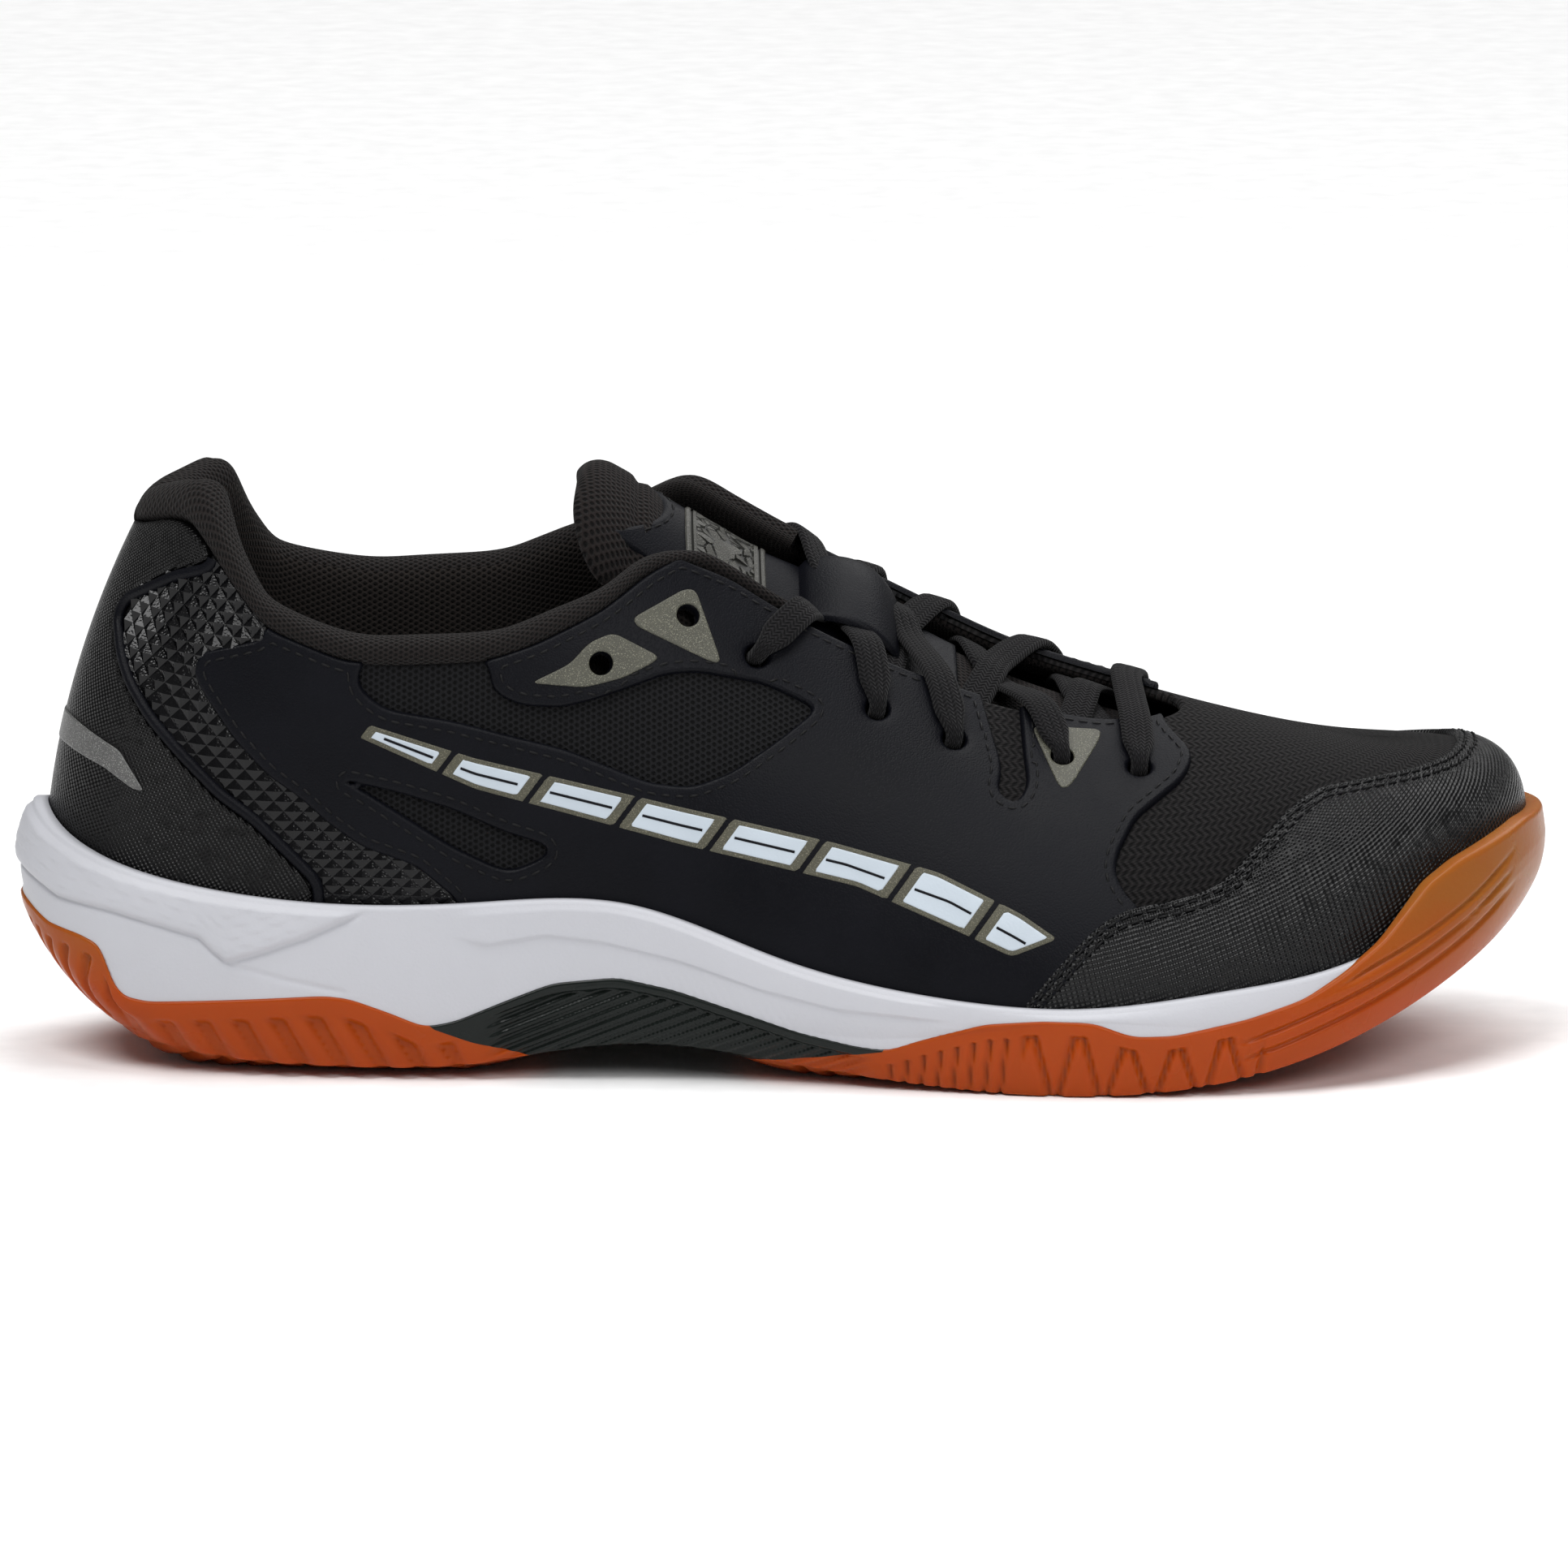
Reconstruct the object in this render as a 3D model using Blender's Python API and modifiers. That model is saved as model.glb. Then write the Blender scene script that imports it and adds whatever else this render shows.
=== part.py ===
"""Court shoe for indoor racket sports, right foot: the design model.

The toe points along +X, the medial side along +Y, and the outsole stands on Z = 0.
Design values are millimetres in the shoe's own frame; to_metres() turns them into the scene's
metres and centres the shoe's width on Y = 0.

Every layer of the upper is an offset of one surface, the last. A point of the last is named by
q, the place around the feather line (0 at the heel, 14 at the toe tip along the lateral side, and
28 - q is the same station on the medial side), and t, the way up the rib from the feather line (0)
to the ridge (1). All layers share one lattice of q and t, so their facets stay parallel.
"""
import math

import bmesh
import bpy
import numpy as np
from mathutils import Vector

MM = 0.001
SHOE = "court_shoe"
WIDTH_CENTRE_Y = -2.2
GAP = 0.3

# One row a station, heel to toe: lateral x, y; medial x, y; ridge x; lateral lean and roundness;
# medial lean and roundness. Lean moves a rib in towards the ridge, roundness lifts its shoulder.
STATIONS = np.array([
    (-143.0, -1.0, -143.0, -1.0, -97.0, 2.05, 1.00, 2.05, 1.00),
    (-139.5, -13.0, -139.5, 11.0, -96.0, 1.95, 1.00, 1.95, 1.00),
    (-129.0, -23.5, -129.0, 21.0, -93.5, 1.50, 1.00, 1.50, 1.00),
    (-112.0, -29.5, -112.0, 27.5, -88.0, 0.92, 0.92, 0.90, 0.90),
    (-88.0, -32.5, -88.0, 30.5, -76.0, 0.80, 0.85, 0.74, 0.82),
    (-60.0, -34.0, -60.0, 31.5, -56.0, 0.84, 0.86, 0.68, 0.76),
    (-30.0, -36.0, -30.0, 32.0, -30.0, 1.12, 0.95, 0.74, 0.80),
    (0.0, -40.5, 0.0, 34.0, 0.0, 1.42, 1.00, 0.88, 0.86),
    (30.0, -46.0, 30.0, 39.0, 28.0, 1.52, 1.00, 0.98, 0.90),
    (58.0, -50.0, 60.0, 44.5, 55.0, 1.46, 0.99, 1.00, 0.92),
    (84.0, -48.5, 88.0, 45.5, 80.0, 1.20, 0.94, 0.94, 0.87),
    (107.0, -41.0, 111.0, 42.0, 99.0, 0.82, 0.74, 0.78, 0.72),
    (126.0, -28.0, 129.0, 34.0, 110.0, 0.64, 0.60, 0.62, 0.59),
    (138.5, -11.5, 140.0, 22.0, 115.0, 0.55, 0.55, 0.55, 0.55),
    (144.0, 7.0, 144.0, 7.0, 117.0, 0.54, 0.54, 0.54, 0.54),
])
TOE = len(STATIONS) - 1
AROUND = 2 * TOE

# Side-view curves of the last: x, z of the feather line and of the ridge; x, y of the ridge.
FLOOR = [(-150, 31), (-140, 29), (-125, 26), (-110, 24.2), (-88, 23.7), (-60, 23), (-20, 19),
         (20, 15.2), (60, 13), (90, 15), (115, 21.5), (130, 28.5), (140, 34), (150, 41)]
RIDGE = [(-150, 150), (-120, 148), (-100, 145), (-80, 140), (-60, 133), (-45, 126), (-30, 118),
         (-15, 109), (0, 100), (23, 88), (43, 78), (60, 72), (77, 67), (91, 63.3), (110, 59.5),
         (124, 58.8), (140, 60), (150, 62)]
MIDDLE = [(-150, -1), (-60, 1), (-30, 4), (0, 7), (30, 8.5), (60, 8), (90, 7.5), (120, 8), (150, 8)]

# The lattice that all layers share, and the fine table that it is read from.
COLUMNS = 44
ROWS = 9
TABLE_Q = 560
TABLE_T = 120

# Layers, as distances from the last (positive is outwards).
MESH_INNER, MESH_THICK = 0.0, 1.6
OVERLAY_INNER, OVERLAY_THICK = 1.9, 1.0
OVERLAY_FACE = OVERLAY_INNER + OVERLAY_THICK
TRIM_INNER, TRIM_THICK = 3.2, 0.4
STIFFENER_INNER, STIFFENER_THICK = -1.5, 1.2
PAD_OUTER, PAD_THIN, PAD_THICK = -1.9, 0.5, 4.2
PAD_FOOT_Z, PAD_FULL_Z = 52.0, 78.0
LINING_THICK = 0.8
COLLAR_REACH = 11

# Sole, one row a station, lateral then medial where they differ.
RIM_Z_LATERAL = (50, 46.5, 41.5, 37.5, 35, 35.5, 35.5, 25.5, 19, 17.5, 20.5, 24.5, 33, 40.5, 43)
RIM_Z_MEDIAL = (50, 46.5, 41.5, 37.5, 36, 38, 41, 36, 27, 21, 21.5, 25, 33, 40.5, 43)
RIM_OUT = (5, 5, 5, 5, 5, 5, 5, 5, 5, 5, 5, 4.8, 4.4, 4.4, 4.4)
BULGE_OUT = (7, 6.6, 6, 5.6, 5.3, 5.1, 5, 5.2, 5.2, 5.5, 5.5, 5.0, 4.4, 4.4, 4.4)
WALL_FOOT_OUT = (7, 6.8, 6, 5.6, 5.4, 4.8, 4.6, 4.0, 4.4, 5.6, 5.6, 5.4, 4.4, 4.4, 4.4)
WALL_FOOT_Z = (33, 27.5, 17, 15.5, 17, 15.5, 20.5, 12.5, 11.5, 15.2, 14.2, 20.5, 29, 37, 40)
UNDER_OUT = (4.3, 3.6, 3.6, 3.6, 3.6, 3.0, 3.2, 1.6, 2.6, 3.2, 3.4, 3.6, 3.4, 3.6, 3.8)
UNDER_Z = (26.5, 21.5, 13.5, 11, 11, 11.5, 15.8, 9.2, 7.2, 7, 8.5, 13.5, 22.5, 29.5, 33.8)
GUM_TOP_Z = (34, 28.6, 18.1, 16.6, 18.1, 16.6, 21.6, 13.6, 12.6, 16.3, 15.4, 23, 39, 44.5, 47)
GUM_OUT = (7, 6.8, 6, 5.6, 5.4, 4.8, 4.6, 4.0, 4.4, 5.6, 5.6, 5.8, 6.3, 6.3, 6.2)
GUM_SIDE_OUT = (5.2, 4.6, 4.7, 4.7, 4.8, 4.3, 4.3, 3.1, 4.0, 5.2, 5.3, 5.4, 5.8, 6.0, 6.2)
GUM_SIDE_Z = (26.5, 21, 13, 10, 10, 9.5, 14, 8.5, 6.5, 8, 9, 15, 27, 34.5, 39)
EDGE_OUT = (-3, -1.5, 0.5, 2, 3, 3, 2.4, 1, 2.5, 3.6, 3.8, 3.6, 3.2, 3.6, 4.2)
EDGE_Z = (15.5, 13.5, 8.5, 4.3, 2.7, 3.5, 7.5, 4.5, 1.2, 0.3, 2.6, 9, 18, 26.5, 32)
SPINE_X = (-124, -122, -117, -106, -86, -60, -30, 0, 30, 58, 82, 100, 112, 118, 121)
BASE = [(-150, 27), (-140, 14), (-133, 8), (-125, 3.2), (-116, 0.4), (-108, 0), (-62, 0), (-50, 3),
        (-40, 6.5), (-28, 8), (-16, 6), (-5, 2.4), (6, 0.3), (14, 0), (78, 0), (88, 1.2), (100, 4),
        (116, 9), (130, 15), (141, 22), (150, 31)]
INNER_RING = -9.0
OUTSOLE_THICK = 4.4
SHANK_FROM, SHANK_TO = -60.0, -2.0
BOARD_OUT, BOARD_THICK = 1.0, 1.7
SOCKLINER_OUT, SOCKLINER_LOW, SOCKLINER_THICK = -4.4, 0.5, 3.8
FLOOR_RING = -13.0
GEL_X, GEL_RADIUS, GEL_DEEP = -104.0, 17.0, 6.0

# Outlines of the upper's pieces in side view, x and z.
TOPLINE_LATERAL = [(-150, 104), (-127.5, 105.3), (-118.8, 108.4), (-114, 105.9), (-105.3, 93.8),
                   (-100.6, 88.3), (-85.5, 82.3), (-73.7, 81.6), (-57.8, 82.4), (-48.3, 85.4),
                   (-35.6, 91.3), (-26.1, 98), (-20, 100.5)]
TOPLINE_MEDIAL = [(-150, 104), (-127.5, 105.3), (-118.8, 108.4), (-114, 106.5), (-105.3, 96.5),
                  (-100.6, 92), (-85.5, 88.5), (-73.7, 88.5), (-57.8, 90), (-48.3, 93),
                  (-35.6, 99), (-26.1, 105), (-20, 107)]
PAD_RISE = 5.0
PAD_FRONT_X = -36.0
LINING_RISE = 3.0
COUNTER_TOP = [(-150, 92), (-125, 92), (-104, 76), (-84, 50), (-76, 20), (-150, 20)]
PUFF_BACK = [(106, 15), (112, 40), (117, 70), (160, 70), (160, 15)]
TOE_CAP = [(45.3, 10), (45.3, 17.1), (52.3, 25.1), (56.4, 29.5), (61.1, 33.7), (66.4, 36.3),
           (73.6, 37.4), (81.2, 39.1), (86, 41.7), (92.2, 47.9), (97.4, 52.9), (103.7, 56.5),
           (113.4, 57.6), (123.4, 58.6), (130.4, 59.8), (134.6, 62), (136, 70), (160, 70), (160, 10)]
HEEL_CAP = [(-91.5, 20), (-91.5, 38.6), (-98.4, 45.4), (-103.8, 50.6), (-110.4, 55.2),
            (-118.7, 63.4), (-124.5, 69.7), (-128.6, 75.9), (-130.4, 81), (-131.3, 88.2),
            (-129, 92.5), (-118.8, 98.4), (-111.7, 100.4), (-111.7, 120), (-160, 120), (-160, 20)]
OVERLAY_REAR = [(-62, 20), (-63.7, 35.7), (-71.6, 42.3), (-82, 45.9), (-88.7, 50.5),
                (-93.8, 55.1), (-100.6, 59.8), (-107.2, 66.8), (-112.8, 74.9), (-115.2, 78.9),
                (-113.9, 83.3), (-101, 86.4)]
OVERLAY_FRONT = [(74.4, 67), (80.3, 62), (78.2, 58.4), (68.5, 52), (64.8, 45.9), (64.2, 42.5),
                 (66.3, 38.7), (69.1, 36.2)]
UPPER_WINDOW = [(-82.7, 80), (-82.1, 76.7), (-77.5, 73), (-64.1, 70.7), (-41.9, 65.1),
                (-26.2, 58.8), (-18, 58), (-10.4, 60.7), (-1.2, 66.6), (6.4, 72), (3.5, 73.7),
                (-3.9, 77.1), (-16.8, 79.6), (-22.8, 79.3), (-35.7, 75), (-43.3, 73.2),
                (-51.5, 73.8), (-56.7, 76.5), (-57.3, 79.5)]
LOWER_WINDOW = [(-85.9, 59.1), (-75, 56.7), (-64.3, 53.5), (-54.1, 49), (-46.6, 46.8),
                (-45.9, 45.1), (-48.2, 43.5), (-52.7, 41.7), (-55.6, 42.1), (-64.4, 46.2),
                (-75, 52.9), (-81.9, 57.2)]
FRONT_SLOT = [(37, 78), (42.8, 60.6), (41.5, 56.8), (45, 54.5), (47.6, 57.8), (46.8, 63),
              (45.8, 78)]
HEEL_STRIP = [(-150, 68.5), (-140.2, 68), (-129.6, 63.1), (-124.6, 55.7), (-126.8, 55.8),
              (-132.5, 59.3), (-141.5, 62.4), (-150, 62.6)]
SIDE_BAND = [(-103.3, 77.2), (-60, 63.6), (-20, 54.2), (10, 47.6), (30, 42.4), (46, 35),
             (53, 30.5), (44, 27), (34, 31.4), (14, 39.6), (-20, 47), (-60, 57.6), (-98.8, 74.7)]
PATCHES = {
    "rear": [(-49.2, 78), (-41.6, 81.5), (-37.8, 85.5), (-33.2, 87.2), (-24.3, 82.5),
             (-25.1, 81.5), (-31.1, 78.7), (-38.7, 77)],
    "top": [(-29.4, 89.8), (-19.5, 94.5), (-17.2, 94.2), (-12.2, 81), (-13.7, 80.8),
            (-28.7, 88.2)],
    "front": [(49.3, 67), (61.9, 65.9), (61.9, 64.7), (55.7, 57), (53.7, 56.7), (48.6, 66.5)],
}
QUARTER_SEAM_X = 32.0
PATCH_LIFT_MEDIAL = {"rear": 7.5, "top": 8.7, "front": 7.0}

# The throat between the eyestays, in plan: x and y, lateral edge then medial edge.
THROAT = [(-23, -17.5), (-10, -14.6), (5, -14.6), (25, -15), (46, -13.5), (62, -12.5),
          (72, -8.5), (77.5, -2), (79, 3), (77.5, 8), (72, 12), (62, 14.5), (46, 15.6), (25, 16),
          (5, 15.6), (-10, 15.6), (-23, 17)]
OPENING_FRONT_X = -20.0
THROAT_SETBACK = 0.8

# Eyelets, from the toe end up: side-view x and z on each side.
EYELETS_LATERAL = [(69.3, 59.9), (54.2, 62), (33.1, 65.9), (18.2, 71.4), (-5.3, 81.7),
                   (-18.8, 89.9), (-35.6, 81.5)]
EYELETS_MEDIAL = [(69.3, 65.3), (54.2, 69.2), (33.1, 75.4), (18.2, 82.1), (-5.3, 92.4),
                  (-18.8, 98.6), (-35.6, 89)]
EYELET_RADIUS = 2.6

# Tongue, in plan: x and y. The two halves meet along a V that clears the lacing.
FOLD_X = 2.4
TONGUE_UPPER = [(1.7, 1), (-3.2, -13), (-21, -13.3), (-26, -16.5), (-31.5, -18), (-35.5, -11),
                (-36.5, 1), (-35.5, 13), (-31.5, 19.6), (-26, 18.2), (-21, 14.5), (-3.2, 14.4)]
TONGUE_LOWER = [(3.1, 1), (-2.4, -13.9), (-18, -14.2), (-18, -17), (2, -17), (20, -20), (50, -20),
                (70, -14), (77, -7), (80, 2), (77, 11), (70, 17), (50, 20.5), (20, 21.5),
                (2, 18.5), (-18, 18.5), (-18, 15.4), (-2.4, 15.3)]
COVER_UPPER = [(0.3, 1), (-4.0, -11.8), (-21, -12.3), (-21, 13.5), (-4.0, 13.2)]
COVER_LOWER = [(4.5, 1), (0.4, -11.8), (30, -12.4), (34, 1), (30, 14), (0.4, 13.2)]
LABEL = [(-2.8, -10.5), (-18.5, -11.5), (-18.5, 13.5), (-2.8, 12.5)]
KEEPER = [(6, -4.2), (22.5, -4.2), (23.5, 1), (22.5, 6.2), (6, 6.2)]
PAD_UPPER_OUT, PAD_LOWER_OUT, TONGUE_THICK = -2.2, -5.6, 4.2
COVER_THICK = 0.6
KEEPER_OUT, KEEPER_THICK = 2.3, 0.7

# Lacing: the lace's centre line as heights above the last.
LACE_RADIUS = 1.3
LACE_OVER, LACE_UNDER = 5.8, -2.7
LACE_LOW, LACE_HIGH = -2.5, 0.4
AGLET_RADIUS, AGLET_LENGTH = 1.5, 18.0

BLACK = (0.022, 0.022, 0.026)
MESH_BLACK = (0.018, 0.018, 0.020)
KHAKI = (0.20, 0.19, 0.12)
PALE_GREY = (0.55, 0.61, 0.66)
WHITE = (0.82, 0.83, 0.84)
GUM = (0.50, 0.19, 0.05)
SHANK_BLACK = (0.020, 0.028, 0.024)
SILVER = (0.42, 0.42, 0.40)
LABEL_GREY = (0.12, 0.12, 0.10)
BOARD_GREY = (0.55, 0.54, 0.50)
GEL_BLUE = (0.30, 0.42, 0.50)


# ---------------------------------------------------------------------------------------------
# Curves and the last
# ---------------------------------------------------------------------------------------------
def cubic(points):
    """Return the natural cubic spline y(x) through the points."""
    x, y = np.array(points, float).T
    count = len(x)
    step = np.diff(x)
    matrix = np.eye(count)
    right = np.zeros(count)
    for i in range(1, count - 1):
        matrix[i, i - 1:i + 2] = step[i - 1], 2 * (step[i - 1] + step[i]), step[i]
        right[i] = 6 * ((y[i + 1] - y[i]) / step[i] - (y[i] - y[i - 1]) / step[i - 1])
    bend = np.linalg.solve(matrix, right)

    def value(at):
        at = np.clip(np.asarray(at, float), x[0], x[-1])
        i = np.clip(np.searchsorted(x, at) - 1, 0, count - 2)
        a = x[i + 1] - at
        b = at - x[i]
        curve = (bend[i] * a ** 3 + bend[i + 1] * b ** 3) / (6 * step[i])
        left = (y[i] / step[i] - bend[i] * step[i] / 6) * a
        return curve + left + (y[i + 1] / step[i] - bend[i + 1] * step[i] / 6) * b
    return value


def loop_cubic(rows):
    """Return the closed uniform cubic spline through the rows."""
    rows = np.asarray(rows, float)
    count = len(rows)
    matrix = 4 * np.eye(count) + np.roll(np.eye(count), 1, 1) + np.roll(np.eye(count), -1, 1)
    bend = np.linalg.solve(matrix, 6 * (np.roll(rows, -1, 0) - 2 * rows + np.roll(rows, 1, 0)))

    def value(at):
        at = np.asarray(at, float) % count
        i = np.floor(at).astype(int) % count
        j = (i + 1) % count
        b = (at - np.floor(at))[..., None]
        a = 1 - b
        curve = (bend[i] * a ** 3 + bend[j] * b ** 3) / 6
        return curve + (rows[i] - bend[i] / 6) * a + (rows[j] - bend[j] / 6) * b
    return value


floor_z = cubic(FLOOR)
ridge_z = cubic(RIDGE)
middle_y = cubic(MIDDLE)
base_curve = cubic(BASE)
section = loop_cubic(np.vstack([STATIONS[:, [0, 1, 4, 5, 6]], STATIONS[-2:0:-1][:, [2, 3, 4, 7, 8]]]))


def base_z(x):
    """Return the height of the sole's underside along its middle."""
    return np.maximum(base_curve(x), 0.0)


def make_last():
    """Tabulate the last: points and outward normals at even q and even arc length t."""
    x, y, ridge_x, lean, roundness = (v[:, None] for v in section(np.arange(TABLE_Q) * AROUND / TABLE_Q).T)
    angle = np.linspace(0, math.pi / 2, 300)[None, :]
    inward = 1 - np.cos(angle) ** lean
    upward = np.sin(angle) ** roundness
    rib_x = x + (ridge_x - x) * inward
    rib_y = y + (middle_y(ridge_x) - y) * inward
    foot = floor_z(x)
    ribs = np.stack([rib_x, rib_y, foot + (ridge_z(rib_x) - foot) * upward], -1)
    arc = np.cumsum(np.linalg.norm(np.diff(ribs, axis=1, prepend=ribs[:, :1]), axis=2), 1)
    points = np.empty((TABLE_Q, TABLE_T + 1, 3))
    for i in range(TABLE_Q):
        along = np.linspace(0, arc[i, -1], TABLE_T + 1)
        for axis in range(3):
            points[i, :, axis] = np.interp(along, arc[i], ribs[i, :, axis])
    around = np.roll(points, -1, 0) - np.roll(points, 1, 0)
    normals = np.cross(around, np.gradient(points, axis=1))
    normals[:, -1] += 1e-3 * normals[:, -2]
    return points, normals / np.linalg.norm(normals, axis=2, keepdims=True)


LAST, LAST_NORMALS = make_last()


def read_table(table, q, t):
    column = (q % AROUND) * TABLE_Q / AROUND
    i = int(column) % TABLE_Q
    j = (i + 1) % TABLE_Q
    a = column - int(column)
    row = min(max(t, 0.0), 1.0) * TABLE_T
    k = min(int(row), TABLE_T - 1)
    b = row - k
    low = table[i, k] * (1 - a) + table[j, k] * a
    high = table[i, k + 1] * (1 - a) + table[j, k + 1] * a
    return low * (1 - b) + high * b


def on_last(q, t, out=0.0):
    """Return the point at q, t, moved outwards along the last's normal."""
    normal = read_table(LAST_NORMALS, q, t)
    return read_table(LAST, q, t) + normal * (out / np.linalg.norm(normal))


def across(station, reach, out=0.0):
    """Return a point over the instep; reach is below 0 on the lateral side, above on the medial."""
    reach_step = 0.07

    def place(at):
        return (station if at < 0 else AROUND - station), 1 - abs(at)
    normal = sum(read_table(LAST_NORMALS, *place(reach + shift)) for shift in (-reach_step, 0, reach_step))
    return read_table(LAST, *place(reach)) + normal * (out / np.linalg.norm(normal))


def find_side(x, z, medial=False):
    """Return the q and t whose point lies at x, z in side view, on the wanted side."""
    half = TABLE_Q // 2
    columns = np.arange(half, TABLE_Q) if medial else np.arange(0, half)
    outside = LAST[columns] + OVERLAY_FACE * LAST_NORMALS[columns]
    away = (outside[:, :, 0] - x) ** 2 + (outside[:, :, 2] - z) ** 2
    i, k = np.unravel_index(np.argmin(away), away.shape)
    return columns[i] * AROUND / TABLE_Q, k / TABLE_T


# ---------------------------------------------------------------------------------------------
# Scene helpers
# ---------------------------------------------------------------------------------------------
def to_metres(point):
    return Vector((point[0] * MM, (point[1] - WIDTH_CENTRE_Y) * MM, point[2] * MM))


def start_scene():
    for old in list(bpy.data.objects):
        bpy.data.objects.remove(old, do_unlink=True)
    made = []
    for name in (SHOE, "cutters"):
        collection = bpy.data.collections.new(name)
        bpy.context.scene.collection.children.link(collection)
        made.append(collection)
    return made


PARTS, CUTTERS = start_scene()


def paint(thing, colour, roughness=0.7, metallic=0.0):
    material = bpy.data.materials.new(thing.name)
    material.use_nodes = True
    shader = material.node_tree.nodes["Principled BSDF"]
    shader.inputs["Base Color"].default_value = (*colour, 1.0)
    shader.inputs["Roughness"].default_value = roughness
    shader.inputs["Metallic"].default_value = metallic
    thing.data.materials.append(material)
    return thing


def mesh_object(name, points, faces, collection):
    mesh = bpy.data.meshes.new(name)
    mesh.from_pydata([to_metres(p) for p in points], [], faces)
    shape = bmesh.new()
    shape.from_mesh(mesh)
    bmesh.ops.recalc_face_normals(shape, faces=shape.faces)
    if collection == PARTS:
        bmesh.ops.triangulate(shape, faces=shape.faces)
    shape.to_mesh(mesh)
    shape.free()
    thing = bpy.data.objects.new(name, mesh)
    collection.objects.link(thing)
    return thing


def as_cutter(thing):
    thing.hide_render = True
    thing.display_type = "WIRE"
    return thing


def cut(thing, cutter, operation="DIFFERENCE"):
    modifier = thing.modifiers.new(operation.lower(), "BOOLEAN")
    modifier.operation = operation
    modifier.solver = "EXACT"
    modifier.object = cutter
    return thing


def prism(name, outline, axis, low, high):
    """Extrude a side outline (x, z) along Y, or a plan outline (x, y) along Z."""
    count = len(outline)
    if axis == "Y":
        points = [(x, level, z) for level in (low, high) for x, z in outline]
    else:
        points = [(x, y, level) for level in (low, high) for x, y in outline]
    faces = [tuple(range(count)), tuple(range(2 * count - 1, count - 1, -1))]
    faces += [(i, (i + 1) % count, (i + 1) % count + count, i + count) for i in range(count)]
    return as_cutter(mesh_object(name, points, faces, CUTTERS))


def two_sided_prism(name, lateral, medial):
    """Extrude along Y an outline that changes from the lateral one to the medial one near y = 4."""
    count = len(lateral)
    levels = ((-90.0, lateral), (-4.0, lateral), (11.0, medial), (90.0, medial))
    points = [(x, y, z) for y, outline in levels for x, z in outline]
    faces = [tuple(range(count)), tuple(range(4 * count - 1, 3 * count - 1, -1))]
    for level in range(3):
        a = level * count
        faces += [(a + i, a + (i + 1) % count, a + (i + 1) % count + count, a + i + count)
                  for i in range(count)]
    return as_cutter(mesh_object(name, points, faces, CUTTERS))


def grow(outline, margin):
    """Move each side of a closed outline outwards by the margin."""
    points = [Vector(p) for p in outline]
    count = len(points)
    area = sum(points[i - 1].cross(points[i]) for i in range(count))
    sign = 1 if area > 0 else -1
    grown = []
    for i in range(count):
        before = (points[i] - points[i - 1]).normalized()
        after = (points[(i + 1) % count] - points[i]).normalized()
        side = Vector((before.y + after.y, -before.x - after.x)) * sign
        side.normalize()
        stretch = 1 / max(0.5, side.dot(Vector((before.y, -before.x)) * sign))
        grown.append(tuple(points[i] + side * margin * stretch))
    return grown


SIDES = {"lateral": (-90.0, 4.0), "medial": (4.0, 90.0)}
THROUGH = (-90.0, 90.0)


def side_prism(name, outline, side=None):
    low, high = SIDES[side] if side else THROUGH
    return prism(name, outline, "Y", low, high)


# ---------------------------------------------------------------------------------------------
# Layers of the upper
# ---------------------------------------------------------------------------------------------
def lattice(offset, reach=COLUMNS // 2):
    """Return points and faces at an offset, for the columns within reach of the heel.

    The offset is a number, or a function of the last's point.
    """
    distance = offset if callable(offset) else lambda point: offset
    points = []
    index = {}
    for column in range(-reach, reach + 1):
        for row in range(ROWS + 1):
            place = (column % COLUMNS, row) if row < ROWS else ("ridge", abs(column))
            if place not in index:
                q = column * AROUND / COLUMNS
                site = on_last(q, row / ROWS) if row < ROWS else across(abs(q), 0.0)
                away = distance(site)
                index[place] = len(points)
                points.append(on_last(q, row / ROWS, away) if row < ROWS else across(abs(q), 0.0, away))

    def corner(column, row):
        return index[(column % COLUMNS, row) if row < ROWS else ("ridge", abs(column))]
    faces = []
    for column in range(-reach, reach):
        for row in range(ROWS):
            loop = [corner(column, row), corner(column + 1, row),
                    corner(column + 1, row + 1), corner(column, row + 1)]
            faces.append(tuple(loop))
    rim = [corner(column, 0) for column in range(-reach, reach + 1)]
    if reach < COLUMNS // 2:
        rim += [corner(reach, row) for row in range(1, ROWS + 1)]
        rim += [corner(-reach, row) for row in range(ROWS - 1, 0, -1)]
    else:
        rim.pop()
    return points, faces, rim


def skin(name, inner, thick):
    """Make one even layer of the upper: the open lattice with Solidify."""
    points, faces, _ = lattice(inner)
    thing = mesh_object(name, points, faces, PARTS)
    face_outwards(thing)
    solid = thing.modifiers.new("thickness", "SOLIDIFY")
    solid.thickness = thick * MM
    solid.offset = 1.0
    solid.use_even_offset = True
    thing.modifiers.new("triangles", "TRIANGULATE")
    return thing


def face_outwards(thing):
    """Point an open dome's faces away from its middle."""
    mesh = thing.data
    middle = sum((v.co for v in mesh.vertices), Vector()) / len(mesh.vertices)
    lean = sum((p.center - middle).dot(p.normal) for p in mesh.polygons)
    if lean < 0:
        mesh.flip_normals()


def padded_layer(name, outer, inner, reach):
    """Make a layer between two offsets that vary over the last, from the heel to a column."""
    outside, faces, rim = lattice(outer, reach)
    inside, _, _ = lattice(inner, reach)
    count = len(outside)
    faces = faces + [tuple(i + count for i in reversed(face)) for face in faces]
    for a, b in zip(rim, rim[1:] + rim[:1]):
        faces.append((b, a, a + count, b + count))
    return mesh_object(name, outside + inside, faces, PARTS)


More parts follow.
